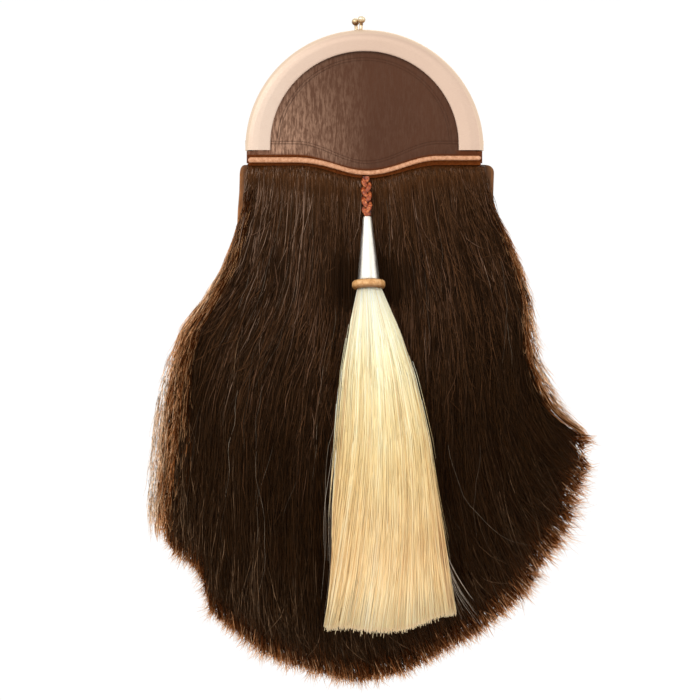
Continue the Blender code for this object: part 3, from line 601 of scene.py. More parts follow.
def bag_corner(past):
    """What is left of the corner's radius at a distance past its start."""
    return np.sqrt(np.maximum(BAG_CORNER ** 2 - np.maximum(past, 0) ** 2, 0))


def bag_lower(across):
    """Lower edge of the bag's walls, with round corners."""
    return BAG_BOTTOM + BAG_CORNER - bag_corner(np.abs(across) - (BAG_HALF - BAG_CORNER))


def bag_half(level):
    """Half width of the bag's walls at a level."""
    return BAG_HALF - BAG_CORNER + bag_corner(BAG_BOTTOM + BAG_CORNER - level)


def panel_face(across, level):
    """Outer face of the bag's front wall."""
    share = np.minimum(np.abs(across) / bag_half(level), 1.0)
    return mix(read(PANEL_ROWS, "middle", level), read(PANEL_ROWS, "side", level), share ** 2)


# ---------------------------------------------------------------- metal

def frame_section(turn, side):
    """Channel section with soft edges at an angle along the arc."""
    cos, sin = math.cos(turn), math.sin(turn)
    ramp = min(1.0, sin / math.sin(FRAME_END_TURN))
    inner = Vector((OPENING_RADIUS * cos, 0, OPENING_RISE * ramp + OPENING_RADIUS * sin))
    outer = Vector((FRAME_RADIUS * cos, 0, FRAME_RISE * ramp + FRAME_RADIUS * sin))
    inwards = (inner - outer).normalized()
    section = []
    for edge, reach, y in CHANNEL.tolist():
        spot = outer + inwards * reach if edge == "outer" else inner - inwards * reach
        section.append(Vector((spot.x, -side * y, spot.z)))
    return rounded(section, FRAME_ROUNDING)


def clasp_ball(foot, ball):
    """Body of a clasp ball on its stem, which stands on a small collar."""
    reach, steps = (ball - foot).length, 20
    turns = [mix(math.asin(STEM_RADIUS / BALL_RADIUS), math.pi, k / steps) for k in range(steps)]
    profile = [(0, -1.0), (2.0, -1.0), (2.0, 1.2), (1.8, 1.6), (STEM_RADIUS + 0.15, 1.9), (STEM_RADIUS, 2.4)]
    profile += [(BALL_RADIUS * math.sin(turn), reach - BALL_RADIUS * math.cos(turn)) for turn in turns]
    return turned(profile + [(0, reach + BALL_RADIUS)], foot, ball, 36)


def make_metal():
    """Both halves of the purse frame with the kiss clasp and the hinge pins."""
    satin, clasp, bright = satin_metal(), clasp_metal(), pin_metal()
    for (half, foot, ball), side in zip(CLASP, (-1, 1)):
        rings = [frame_section(math.pi * k / FRAME_STEPS, side) for k in range(FRAME_STEPS + 1)]
        solid(half + "_frame_metal", loft(rings), satin, half + "_frame", 50)
        solid(half + "_clasp_ball", clasp_ball(foot, ball), clasp)
    reach = PIN_OUTER - PIN_INNER
    profile = [(0, 0), (PIN_HEAD - 0.3, 0), (PIN_HEAD, 0.3), (PIN_HEAD, 1.3), (PIN_HEAD - 0.3, 1.6),
               (PIN_RADIUS, 1.6), (PIN_RADIUS, reach), (PIN_RADIUS + 0.5, reach + 0.2),
               (PIN_RADIUS + 0.4, reach + 0.38), (PIN_RADIUS * 0.7, reach + 0.5), (0, reach + 0.55)]
    for name, sign in (("left", -1), ("right", 1)):
        start = Vector((sign * PIN_INNER, 0, PIN_LEVEL))
        solid("hinge_rivet_" + name, turned(profile, start, start + Vector((sign, 0, 0)), 28), bright,
              "hinge_pin_" + name)


def make_cone():
    """Hollow polished cone, closed at its small end."""
    height, steps = (CONE_MOUTH - CONE_TOP).length, 12
    profile = [(0, 0), (CONE_TOP_RADIUS - 0.6, 0), (CONE_TOP_RADIUS - 0.2, 0.15), (CONE_TOP_RADIUS, 0.6)]
    profile += [(mix(CONE_TOP_RADIUS, CONE_MOUTH_RADIUS, k / steps), mix(0.6, height, k / steps))
                for k in range(1, steps)]
    profile += [(CONE_MOUTH_RADIUS, height - 0.3), (CONE_MOUTH_RADIUS - 0.15, height),
                (CONE_MOUTH_RADIUS - CONE_WALL, height), (CONE_TOP_RADIUS - CONE_WALL + 0.1, 2.0), (0, 2.0)]
    solid("metal_cone", turned(profile, CONE_TOP, CONE_MOUTH, 64), cone_metal(), "cone")


# ---------------------------------------------------------------- leather

def flat_sheet(half, lower, columns, rows, face, inwards, relief):
    """Closed flat leather sheet whose outer face carries a relief; inwards is its back's way."""
    x = np.linspace(-half, half, columns + 1)[:, None]
    rim = np.array((0.0, 0.12, 0.35, 0.8))
    low, high = lower(x), arch(x)
    inner = mix(low + rim[-1], high - rim[-1], np.linspace(0, 1, rows - 5)[1:-1])
    z = np.hstack([low + rim, inner, high - rim[::-1]])
    depth = relief(x, z)
    for border, sunk in enumerate((0.5, 0.22, 0.06)):
        depth[:, (border, -1 - border)] += sunk
    depth[(0, -1), :] += 0.5
    points = spots(x, face + inwards * depth, z).reshape(-1, 3)
    at = np.arange(len(points)).reshape(z.shape)
    border = np.concatenate([at[:, 0], at[-1, 1:], at[-2::-1, -1], at[0, -2:0:-1]])
    back = len(points) + np.arange(len(border))
    faces = np.stack([at[:-1, :-1], at[:-1, 1:], at[1:, 1:], at[1:, :-1]], axis=-1).reshape(-1, 4).tolist()
    faces += np.stack([border, np.roll(border, -1), np.roll(back, -1), back], axis=-1).tolist()
    flat = points[border]
    flat[:, 1] = face + inwards * LEATHER
    return np.vstack([points, flat]), faces + [back.tolist()]


def strip_line(x, z):
    """Height over the lower tooled line of the strip."""
    return z - TOOLED_LEVEL + TOOLED_DIP * dip(x)


def arch_line(x, z):
    """Distance in from the outer tooled line round the arch, which stops at the strip's line."""
    return np.where(strip_line(x, z) > 0, OPENING_RADIUS - np.hypot(x, z - OPENING_RISE) - TOOLED_INSET, -9.0)


def tooling(x, z):
    """Depth of the tooled lines in the cantle's softly bulging leather."""
    away = np.min([np.abs(line(x, z) - pitch) for line in (strip_line, arch_line)
                   for pitch in (0.0, TOOLED_PITCH)], axis=0)
    bulge = 0.35 * np.cos(math.pi / 2 * np.minimum(np.hypot(x, z - 25) / 60, 1))
    return TOOLED_DEPTH * np.exp(-(away / TOOLED_WIDTH) ** 2) - bulge


def make_cantle():
    """Tooled leather in the front frame, with the strip under it, red-brown with painted shade along the piping
    and under the frame's ends.
    """
    points, faces = flat_sheet(STRIP_HALF, strip_edge, 160, 96, -SHEET_FACE, 1, tooling)
    sheet = solid("cantle_hide", (points, faces), cantle_leather(), "cantle_leather", 50)
    x, _, z = points.T
    over = z - piping_level(x)
    # Painted shade under the frame's ends, stronger at the right, and red-brown with painted shade just above
    # the piping.
    frame_end_shade = ease((np.abs(x) - OPENING_RADIUS + 4) / 6) * np.where(x > 0, 1.0, 0.6)
    edge = np.maximum(1 - ease((over - 2.0) / 1.4), frame_end_shade * (1 - ease((over - 4.2) / 1.6)))
    hold_values(sheet.data, edge=edge, strip_line=strip_line(x, z), arch_line=arch_line(x, z))


def make_piping():
    """Rolled cord along the ogee, on its thin red-brown flange."""
    tan = rolled_leather("tan_leather", "tan_leather", (0.42, 0.18, 0.085), (0.62, 0.31, 0.17),
                         (0.80, 0.46, 0.29), 0.40, (0.16, 0.045, 0.015))
    half = STRIP_HALF - 1.0
    x = np.linspace(-half, half, 190)
    centre = -SHEET_FACE - GAP - 1.4 * PIPING_RADIUS
    plump = np.interp(x, (-half, -46, -10, half), (1.4, 1.4, 1.14, 1.14)) * PIPING_RADIUS
    radii = plump * ease(np.minimum(half - np.abs(x) + 0.25, 1.6) / 1.6) ** 0.5
    body = tube(spots(x, centre, cord_level(x)), radii, 16)
    cord = solid("piping_cord", body, tan, "piping")
    x, _, z = np.array(body[0]).T
    # Painted shade on the cord's underside.
    hold_values(cord.data, hidden=ease(((cord_level(x) - z) / PIPING_RADIUS - 0.95) / 0.5))

    red = rolled_leather("red_brown_leather", "tan_leather", (0.085, 0.017, 0.002), (0.125, 0.030, 0.004),
                         (0.17, 0.048, 0.010), 0.6, specular=0.05)
    x = np.linspace(-half, half, 150)
    edges = piping_level(x) + 2.15, strip_edge(x) - np.interp(x, (-40, 0), (1.6, 1.3))
    front, back = ([[(at, y, high), (at, y, low)] for at, high, low in zip(x, *edges)]
                   for y in (-SHEET_FACE - 0.28, -SHEET_FACE - 0.05))
    solid("piping_flange", thick_sheet(front, back), red)


def make_stitches(name, route, finish):
    """Row of short stitches along a route over the back's leather, standing a little proud of it."""
    route = np.array(route)
    steps = np.diff(route, axis=0)
    reach = np.concatenate([[0], np.cumsum(np.linalg.norm(steps, axis=1))])
    bodies = []
    for place in np.arange(STITCH_PITCH / 2, reach[-1], STITCH_PITCH):
        part = np.searchsorted(reach, place) - 1
        along = steps[part] / (reach[part + 1] - reach[part])
        spot = route[part] + along * (place - reach[part])
        stitch = [spot + along * row.along * STITCH_REACH + (0, row.out * STITCH_RADIUS, 0)
                  for row in STITCH_ROWS]
        bodies.append(tube(stitch, STITCH_RADIUS * STITCH_ROWS.thick, 6))
    solid(name, join_bodies(bodies), finish, None, 60)


def back_relief(x, z):
    """Soft dents of the unlined back wall below the frame, and the groove of its seam."""
    inside = ease((-8 - z) / 30) * ease((BAG_HALF - 8 - np.abs(x)) / 30) * ease((z - BAG_BOTTOM - 8) / 30)
    wave = np.sin(x / 17 + 1.3) * np.sin(z / 23 + 0.6) + 0.5 * np.sin(x / 9 - z / 14)
    from_edge = np.minimum(BAG_HALF - np.abs(x), z - bag_lower(x))
    seam = 0.35 * np.exp(-((from_edge - SEAM_INSET) / 0.7) ** 2)
    return inside * (0.25 + 0.3 * wave) + np.where(z < -2, seam, 0.0)


def make_bag():
    """Front and back walls, the gusset between them and the strap tunnel."""
    hide, seam_thread = bag_leather(), thread()
    corner = BAG_BOTTOM + BAG_CORNER
    level = np.concatenate([np.linspace(-3, corner, 30),
                            corner - BAG_CORNER * np.sin(math.pi / 2 * np.arange(1, 15) / 14)])[:, None]
    x = bag_half(level) * np.linspace(-1, 1, 33)
    front = spots(x, panel_face(x, level), level)
    solid("bag_front_wall", thick_sheet(front, front + (0, LEATHER, 0)), hide, "front_panel")
    rear = flat_sheet(BAG_HALF, bag_lower, 110, 84, SHEET_FACE, -1, back_relief)
    solid("bag_back_wall", rear, hide, "back_panel", 50)
    radius = BAG_CORNER - SEAM_INSET
    seam = [(SEAM_INSET - BAG_HALF, z) for z in np.linspace(-3, corner, 20)]
    seam += [(BAG_CORNER - BAG_HALF - radius * math.cos(turn), corner - radius * math.sin(turn))
             for turn in np.linspace(0, math.pi / 2, 16)[1:]]
    seam += [(-x, z) for x, z in seam[::-1]]
    make_stitches("back_seam", [(x, SHEET_FACE - 0.2, z) for x, z in seam], seam_thread)
    make_gusset()
    make_tunnel(hide, seam_thread)


def gusset_section(x, z, out_x, out_z, bulge=GUSSET_BULGE):
    """C section across the gusset: a flange behind each wall and a bulge between them."""
    front, back = panel_face(x, z) + LEATHER + 2 * GAP, SHEET_FACE - LEATHER - GAP
    section = []
    for wall, way in ((0, 1), (GUSSET_LEATHER, -1)):
        half, middle = (back - front) / 2 - wall, (back + front) / 2
        side = [(-GUSSET_FLANGE, front + wall), (-0.6, front + wall)]
        side += [((bulge - wall) * math.cos(turn) ** 0.6, middle + half * math.sin(turn))
                 for turn in map(math.radians, range(-75, 76, 15))]
        side += [(-0.6, back - wall), (-GUSSET_FLANGE, back - wall)]
        section += side[::way]
    return [(x + out_x * reach, y, z + out_z * reach) for reach, y in section]


def gusset_half(side, shares, steps=16):
    """Sections of the gusset from its top at one side to the bottom of its round corner."""
    sections = [gusset_section(side * BAG_HALF, row.level, side, 0, row.bulge * share)
                for row, share in zip(GUSSET_ROWS, shares)]
    for k in range(steps + 1):
        out_x, out_z = side * math.cos(math.pi / 2 * k / steps), -math.sin(math.pi / 2 * k / steps)
        sections.append(gusset_section(
            side * (BAG_HALF - BAG_CORNER) + BAG_CORNER * out_x, BAG_BOTTOM + BAG_CORNER * (1 + out_z),
            out_x, out_z, GUSSET_BULGE - 0.35 * math.sin(5.5 * math.pi * k / steps) ** 2))
    return sections


def make_gusset():
    """Strip that joins the walls down the sides and along the bottom, with round tops."""
    bottom = [gusset_section(x, BAG_BOTTOM, 0, -1) for x in (-20, 0, 20)]
    sections = gusset_half(-1, GUSSET_ROWS.left) + bottom + gusset_half(1, GUSSET_ROWS.right)[::-1]
    solid("side_strip", loft(sections), gusset_leather(), "gusset", 60)


def make_tunnel(hide, seam_thread):
    """Leather sewn to the back wall above and below, open to both sides for the strap."""
    near, wall, top, step = SHEET_FACE + GAP, TUNNEL_LEATHER, TUNNEL_TOP, TUNNEL_STEP
    far = near + TUNNEL_DEPTH
    inner = [(near, top + TUNNEL_MARGIN), (near, top), (far - 1, top - 0.4), (far, top - step)]
    outer = [(far + wall, top - step), (far, top + wall - 0.6), (near + wall, top + wall),
             (near + wall, top + TUNNEL_MARGIN)]
    lower = [(y, top + TUNNEL_BOTTOM - z) for y, z in (outer + inner)[::-1]]
    outline = rounded([Vector((0, y, z)) for y, z in inner + lower + outer], 0.9)
    half = TUNNEL_WIDTH / 2
    middle = Vector((0, (near + far + wall) / 2, (top + TUNNEL_BOTTOM) / 2))
    ends = ((-half, 0.992), (0.35 - half, 0.998), (0.9 - half, 1.0), (0, 1.0), (half - 0.9, 1.0),
            (half - 0.35, 0.998), (half, 0.992))
    rings = [[(x, *(middle + (point - middle) * shrink).yz) for point in outline] for x, shrink in ends]
    solid("strap_tunnel", loft(rings), hide, "belt_loop", 60)
    for name, level in (("upper", top + TUNNEL_SEAM), ("lower", TUNNEL_BOTTOM - TUNNEL_SEAM)):
        seam = [(x, near + wall, level) for x in (3 - half, half - 3)]
        make_stitches("tunnel_seam_" + name, seam, seam_thread)


# ---------------------------------------------------------------- tassel hardware

def make_braid():
    """Plait of three flat leather thongs, with painted shade in its hollows and painted glints."""
    # Its brightest streak shade stands for painted glints on the glossy thongs, and its shade colour for
    # painted shade.
    finish = rolled_leather("plait_leather", "plait_leather", (0.13, 0.014, 0.003), (0.36, 0.068, 0.016),
                            (0.95, 0.36, 0.13), 0.26, (0.022, 0.002, 0.001))
    bottom = CONE_TOP + Vector((0, 0, 2 * GAP))
    share = np.arange(BRAID_STEPS + 1) / BRAID_STEPS
    spread = mix(BRAID_GATHER, 1, ease(np.minimum(share, 1 - share) * 6))
    bodies = []
    for lane in range(3):
        turn = math.tau * (BRAID_TURNS * share + lane / 3)
        x = mix(BRAID_TOP.x, bottom.x, share) + (BRAID_WIDTH / 2 - BRAID_STRAND) * spread * np.sin(turn)
        y = mix(BRAID_TOP.y, bottom.y, ease(share)) + 0.75 * BRAID_STRAND * spread * np.sin(2 * turn)
        route = spots(x, y, mix(BRAID_TOP.z, bottom.z, share))
        bodies.append(tube(route, np.full(len(route), BRAID_STRAND * 1.04), 14, 0.78))
    body = join_bodies(bodies)
    plait = solid("leather_plait", body, finish, "braid")
    _, y, z = np.array(body[0]).T
    middle = mix(BRAID_TOP.y, bottom.y, ease((BRAID_TOP.z - z) / (BRAID_TOP.z - bottom.z)))
    # Painted shade on the thongs where they turn back into the plait's hollows.
    hold_values(plait.data, hidden=ease((y - middle + 1.7) / 1.4))


def make_ring():
    """Rolled, faintly twisted ring under the cone's mouth, with painted shade above and underneath."""
    finish = rolled_leather("golden_leather", "golden_leather", (0.50, 0.235, 0.075), (0.74, 0.41, 0.165),
                            (0.88, 0.57, 0.28), 0.4, (0.17, 0.065, 0.014))
    along = (CONE_MOUTH - CONE_TOP).normalized()
    start = CONE_MOUTH + along * (GAP + RING_HEIGHT / 2)
    middle, half = (RING_RADIUS + RING_BORE) / 2, (RING_RADIUS - RING_BORE) / 2

    def squarish(value):
        return math.copysign(abs(value) ** 0.8, value)

    def twist(turn, row):
        return 0.13 * math.sin(16 * turn + math.tau * row / RING_SIDES)

    turns = [math.tau * k / RING_SIDES for k in range(RING_SIDES)]
    profile = [(middle + half * squarish(math.cos(turn)), RING_HEIGHT / 2 * squarish(math.sin(turn)))
               for turn in turns]
    body = turned(profile, start, start + along, 120, twist)
    ring = solid("rolled_ring", body, finish, "ring")
    height = np.array([(point - start).dot(along) for point in body[0]]) * 2 / RING_HEIGHT
    # Painted shade: strong on the ring's underside, lighter at its top edge under the cone.
    hold_values(ring.data, hidden=0.9 * ease((height + 0.05) / 0.9) + 0.4 * ease((-height - 0.6) / 0.4))


# ---------------------------------------------------------------- hair

def tip_places(share):
    """Points along the trimmed edge, as far apart as the strands that end there."""
    across, level = TIP_ROWS.across, TIP_ROWS.level
    run = np.concatenate([[0], np.cumsum(np.hypot(np.diff(across), np.diff(level)))])
    place = mix(run / run[-1], (across - across[0]) / (across[-1] - across[0]), 0.5)
    return np.stack([np.interp(share, place, across), np.interp(share, place, level)])


def tip_outwards(share):
    """Direction that points straight out of the trimmed edge."""
    step = tip_places(np.minimum(share + 0.02, 1)) - tip_places(np.maximum(share - 0.02, 0))
    return np.stack([step[1], -step[0]]) / np.hypot(*step)


def curtain(share, drop):
    """X and Z in the curtain: share across it from left to right, drop from heading to tips."""
    share, drop = np.broadcast_arrays(np.asarray(share, float), np.asarray(drop, float))
    top = SIDE_ROWS[0]

    def side(name, end):
        level = mix(top.level, TIP_ROWS[end].level, drop)
        return np.stack([read(SIDE_ROWS, name, level), level])

    def straight(at):
        across = mix(top.left, top.right, at)
        return mix(np.stack([across, strip_edge(across) - HAIR_START]), tip_places(at), drop)

    bowed = mix(side("left", 0), side("right", -1), share)
    plain = mix(straight(np.zeros_like(share)), straight(np.ones_like(share)), share)
    return straight(share) + bowed - plain


def surface_tree(node):
    """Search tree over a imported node's faces, in metres."""
    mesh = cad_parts[node].data
    return BVHTree.FromPolygons([vertex.co for vertex in mesh.vertices],
                                [tuple(face.vertices) for face in mesh.polygons])


def faces_at(tree, x, z):
    """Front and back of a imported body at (x, z), in design millimetres."""
    place = Vector(to_row((x, 0, z)))
    hits = []
    for start, way in ((-0.2, 1), (0.2, -1)):
        spot = tree.ray_cast(Vector((place.x, start, place.z)), Vector((0, way, 0)))[0]
        if spot is None:
            spot = tree.find_nearest(place - Vector((0, 0.02, 0)))[0]
        hits.append(spot.y / MM - SHIFT[1])
    return hits


def hair_depth():
    """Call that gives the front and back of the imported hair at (share, drop) in the curtain."""
    tree = surface_tree("hair")
    shares, drops = np.linspace(0.006, 0.994, 133), np.linspace(0.03, 0.975, 64)
    grid = np.array([[faces_at(tree, x, z) for x, z in curtain(share, drops).T] for share in shares])

    def at(share, drop):
        share, drop = np.broadcast_arrays(share, drop)
        i = np.clip((share - shares[0]) / np.diff(shares[:2]), 0, len(shares) - 1.001)
        j = np.clip((drop - drops[0]) / np.diff(drops[:2]), 0, len(drops) - 1.001)
        low_i, low_j = i.astype(int), j.astype(int)
        part_i, part_j = (i - low_i)[..., None], (j - low_j)[..., None]
        upper, lower = (mix(grid[low_i, row], grid[low_i + 1, row], part_i) for row in (low_j, low_j + 1))
        return np.moveaxis(mix(upper, lower, part_j), -1, 0)

    return at


def make_strands(name, paths, radius, tone, finish, tip=0.2, taper_from=0.6, used=1.0):
    """Closed three-sided tapering strands along paths (strand, point, xyz), as one piece.

    Each takes one column of shades, and the used share of the shades along it.
    """
    count, steps, _ = paths.shape
    sides = 3
    chance = np.random.default_rng(len(name) * 101 + count)
    along = np.gradient(paths, axis=1)
    along /= np.linalg.norm(along, axis=2, keepdims=True) + 1e-9
    side = np.cross(along, (0.0, 1.0, 0.0))
    side /= np.linalg.norm(side, axis=2, keepdims=True) + 1e-9
    up = np.cross(side, along)
    share = np.linspace(0, 1, steps)
    taper = np.interp(share, (0, taper_from, 1), (1, 1, tip))[:, None, None]
    turn = chance.uniform(0, math.tau, (count, 1, 1, 1)) + math.tau * np.arange(sides)[:, None] / sides
    wide = np.broadcast_to(radius, (count,))[:, None, None, None] * taper
    rings = paths[:, :, None] + wide * (np.cos(turn) * side[:, :, None] + np.sin(turn) * up[:, :, None])
    points = to_row(rings.reshape(-1, 3))

    at = np.arange(len(points)).reshape(count, steps, sides)
    after = np.roll(at, -1, axis=2)
    quads = np.stack([after[:, :-1], at[:, :-1], at[:, 1:], after[:, 1:]], axis=-1)
    corners = np.concatenate([quads.ravel(), at[:, 0].ravel(), at[:, -1, ::-1].ravel()])
    sizes = np.repeat((4, 3), (quads.size // 4, 2 * count))
    mesh = bpy.data.meshes.new(name)
    mesh.vertices.add(len(points))
    mesh.vertices.foreach_set("co", points.ravel())
    mesh.loops.add(len(corners))
    mesh.loops.foreach_set("vertex_index", corners.astype(np.int32))
    mesh.polygons.add(len(sizes))
    mesh.polygons.foreach_set("loop_start", (np.cumsum(sizes) - sizes).astype(np.int32))
    mesh.update(calc_edges=True)
    mesh.shade_smooth()

    # Map for the baked colours: a strand's shade is its column, and its root is at the bottom
    column = np.clip((np.asarray(tone) * TONES).astype(int), 0, TONES - 1)[:, None]
    spent = np.broadcast_to(used, (count,))[:, None] * share
    hold_values(mesh, tone=np.repeat((column + 0.5) / TONES, steps * sides), along=np.repeat(spent, sides))
    left = column[:, None, None]
    down = np.stack([spent[:, :-1], spent[:, :-1], spent[:, 1:], spent[:, 1:]], axis=-1)[:, :, None]
    places = [np.broadcast_arrays((left + (0.9, 0.1, 0.1, 0.9)) / TONES, down, quads)[:2]]
    places += [((column + (0.1, 0.9, 0.5)) / TONES, spent[:, -1:] * end)
               for end in ((0.0, 0.0, 0.02), (1.0, 1.0, 0.98))]
    layer = mesh.uv_layers.new(name="OFBake")
    layer.data.foreach_set("uv", np.concatenate([np.stack(pair, axis=-1).ravel() for pair in places])
                           .astype(np.float32))
    return add_piece(mesh, name, finish)


def sway(share, drop):
    """Slow shared drift of neighbouring strands across the curtain, which dies out at its sides."""
    drift = (0.0042 * np.sin(11 * share + 4.2 * drop + 0.6) + 0.0030 * np.sin(27 * share - 6.5 * drop + 2.1)
             + 0.0018 * np.sin(61 * share + 9.0 * drop))
    return drift * ease(drop * 1.5) * ease(np.minimum(share, 1 - share) * 9)


def hair_path(depth, chance, start, first, last, grow, lift, back=False, pull=0.45, wander=0.008,
              frizz=0.9, flare=0.0, fan=0.0):
    """Paths of strands that follow the curtain's front or back, lifted a little off it.

    pull gathers them into locks, wander and fan lean them aside, frizz waves them, and flare
    bends their tips out of the trimmed edge.
    """
    count, start, grow = len(start), start[:, None], np.asarray(grow, float)
    drop = mix(first[:, None], last[:, None], grow)
    lock = (np.floor(start * CLUMPS) + 0.5) / CLUMPS
    lean = chance.normal(0, wander, (count, 1)) * np.where(chance.random((count, 1)) < 0.3, 2.6, 1.0)
    lean = lean + fan * (2 * start - 1)
    share = start + (lock - start) * pull * ease((drop - 0.35) / 0.65) + sway(start, drop) + lean * grow ** 1.5
    share = np.clip(share, -SIDE_SPILL, 1 + SIDE_SPILL)
    x, z = curtain(share, drop)
    y = depth(share, drop)[int(back)]
    pressed = ease((GROOVE_HALF - np.abs(x - GROOVE_MIDDLE)) / 14) * ease((GROOVE_TOP - z) / 20)
    room = 1.0 if back else 1 - 0.75 * pressed
    loose = ease(drop * 6) * ease(grow * 4)
    y = y + (1 if back else -1) * lift[:, None] * ease(drop * 12) * room
    for shorter in (1.0, 2.3):
        turn = chance.uniform(0, math.tau, (2, count, 1))
        wave = chance.uniform(34, 75, (2, count, 1)) / shorter
        reach = chance.uniform(0.2, 1.0, (2, count, 1)) * frizz / shorter
        x = x + reach[0] * np.sin(turn[0] + math.tau * z / wave[0]) * loose
        y = y + 0.7 * reach[1] * np.sin(turn[1] + math.tau * z / wave[1]) * loose * room
    away = tip_outwards(start) * np.reshape(flare, (-1, 1))
    bend = np.clip((drop - 0.86) / 0.14, 0, 1.3) ** 1.6
    behind = -SHEET_FACE + LEATHER + 1.0
    y = np.where(drop < HAIR_OUT, mix(behind, y, np.clip((drop - HAIR_ROOT) / 0.015, 0, 1)), y)
    return spots(x + away[0] * bend, y, z + away[1] * bend)


def patches(share, drop):
    """Brighter and darker areas of the curtain, around 1."""
    return (1 + 0.16 * np.sin(9 * share + 5 * drop + 0.4) * np.sin(7 * drop - 4 * share + 1.9)
            + 0.12 * np.sin(31 * share - 8 * drop) + 0.10 * np.sin(53 * share + 17 * drop + 1.0))


def hair_finishes():
    """Materials of the long, the upper, the lower and the outermost hairs."""
    # The tips' reddish colour is partly the hair's own, and partly painted light shining through thin hairs.
    warm, ends = (1.0, 0.72, 0.52), (0.19, 0.062, 0.018)
    # Painted light along the long hairs: their upper stretch much brighter for the sheen it catches, and darker
    # lower down.
    fading = ((0.0, (2.5, 2.0, 1.7)), (0.2, (2.4, 2.05, 1.85)), (0.38, (1.25, 1.1, 0.95)),
              (0.5, (0.66, 0.56, 0.44)), (0.82, (0.62, 0.52, 0.42)), (1.0, (1.1, 0.9, 0.7)))
    # Painted shadow: the short hairs darker at their roots, just under the strip.
    level = ((0.0, (0.85, 0.82, 0.8)), (0.15, (1.05, 1.03, 1.02)), (1.0, (0.97, 0.93, 0.88)))
    # Loose outer hairs paler towards their ends: painted light shining through them.
    rising = ((0.0, (0.30, 0.27, 0.25)), (0.35, (0.62, 0.58, 0.55)), (0.62, (1.0, 1.0, 1.0)),
              (1.0, (1.25, 1.25, 1.25)))
    inner = ((("dark_horsehair_long", 0.97, fading, (0.65, 1.5)),
              ((0.0, (0.018, 0.0066, 0.0014)), (0.5, (0.030, 0.0128, 0.0040)),
               (0.85, (0.052, 0.027, 0.0135)), (1.0, (0.11, 0.066, 0.039)))),
             (("brown_horsehair", 0.93, level, (0.65, 1.5)),
              ((0.0, (0.038, 0.0148, 0.0042)), (0.5, (0.074, 0.0335, 0.0148)),
               (0.85, (0.120, 0.064, 0.040)), (1.0, (0.20, 0.130, 0.094)))),
             (("dark_horsehair", 0.93, level, (0.55, 1.7)),
              ((0.0, (0.013, 0.0046, 0.0008)), (0.4, (0.022, 0.0088, 0.0024)),
               (0.8, (0.038, 0.019, 0.0085)), (1.0, (0.11, 0.066, 0.038)))))
    made = [hair_finish(name, "dark_horsehair", shades, lower, ends, tip_start, 0.42, 0.14, warm, glint)
            for (name, tip_start, lower, glint), shades in inner]
    # Reddish to cream shades of the outer hairs: partly their own colour, partly painted light shining through
    # them.
    ruddy = ((0.0, (0.034, 0.0110, 0.0034)), (0.3, (0.15, 0.047, 0.0135)), (0.6, (0.42, 0.165, 0.056)),
             (0.85, (0.86, 0.50, 0.27)), (1.0, (1.0, 0.76, 0.54)))
    return made + [hair_finish("ruddy_horsehair", "dark_horsehair", ruddy, rising, (0.85, 0.47, 0.23), 0.62,
                               0.6, 0.0, (1.0, 0.55, 0.25), (0.45, 1.7))]


def make_hair():
    """Dark curtain of hair: a streaked core under long and short strands, with loose ends and rims."""
    depth, chance = hair_depth(), np.random.default_rng(7)
    long_dark, brown, dark, ruddy = hair_finishes()
    make_hair_core(depth)
    count = LONG_HAIRS
    start = chance.uniform(0.0, 1.0, count)
    last = np.where(chance.random(count) < 0.6, HAIR_END, chance.uniform(0.6, HAIR_END, count))
    last = last + chance.normal(0, 0.012, count)
    paths = hair_path(depth, chance, start, np.full(count, HAIR_ROOT), last, ROOT_GROW,
                      chance.uniform(-0.7, 1.1, count), flare=chance.uniform(-2, 1.5, count))
    make_strands("hair_front_long", paths, chance.uniform(0.17, 0.32, count), chance.beta(1.5, 2.4, count),
                 long_dark, used=np.where(last > 0.95, 1.0, 0.96))
    count, even = SHORT_HAIRS, np.linspace(0, 1, 6)
    for part, finish, high, low, wander, fan in (("upper", brown, 0.0, 0.44, 0.019, 0.024),
                                                 ("lower", dark, 0.32, 0.93, 0.014, 0.0)):
        start = chance.uniform(0.0, 1.0, count)
        first = chance.uniform(high, low, count)
        if part == "upper":
            first = np.where(chance.random(count) < 0.30, HAIR_ROOT, first)
        length = chance.uniform(0.10, 0.34, count)
        if part == "upper":
            length = np.where(chance.random(count) < 0.5, chance.uniform(0.05, 0.13, count), length)
        last = np.minimum(first + length, HAIR_END + chance.normal(0, 0.014, count))
        paths = hair_path(depth, chance, start, first, last, even, chance.uniform(-0.6, 1.3, count),
                          wander=wander, frizz=1.5, flare=chance.uniform(-2, 1.5, count), fan=fan)
        fall = np.interp(first, (0, 0.25, 0.5, 0.75, 0.9), (1.12, 1.0, 0.68, 0.9, 1.2))
        fall = fall * (1 + 0.3 * np.clip(1 - 4 * start, 0, 1))
        left_brightening = 0.40 * ease((first - 0.6) / 0.2) + 0.24 * ease((0.5 - first) / 0.25)
        fall = fall * (1 + ease((0.55 - start) / 0.3) * left_brightening)
        tone = np.clip(chance.beta(1.8, 2.6, count) * fall * patches(start, first), 0, 1)
        make_strands("hair_front_" + part, paths, chance.uniform(0.15, 0.30, count), tone, finish,
                     used=np.where(last > 0.95, 1.0, 0.92))
    count = BACK_HAIRS
    start = chance.uniform(0.004, 0.996, count)
    first = np.where(chance.random(count) < 0.3, 0.03, chance.uniform(0.06, 0.75, count))
    last = np.minimum(first + chance.uniform(0.25, 0.6, count), HAIR_END)
    paths = hair_path(depth, chance, start, first, last, even, chance.uniform(-0.9, 0.7, count), True)
    tone = np.clip(chance.beta(1.5, 2.4, count) * np.interp(first, (0, 0.35, 0.8), (1.2, 0.9, 0.8)), 0, 1)
    make_strands("hair_back", paths, chance.uniform(0.2, 0.4, count), tone, dark, used=0.92)
    make_hair_ends(depth, chance, ruddy)
    for row in RIM_ROWS:
        make_hair_rim(depth, chance, ruddy, row)
    make_hair_strays(depth, chance)


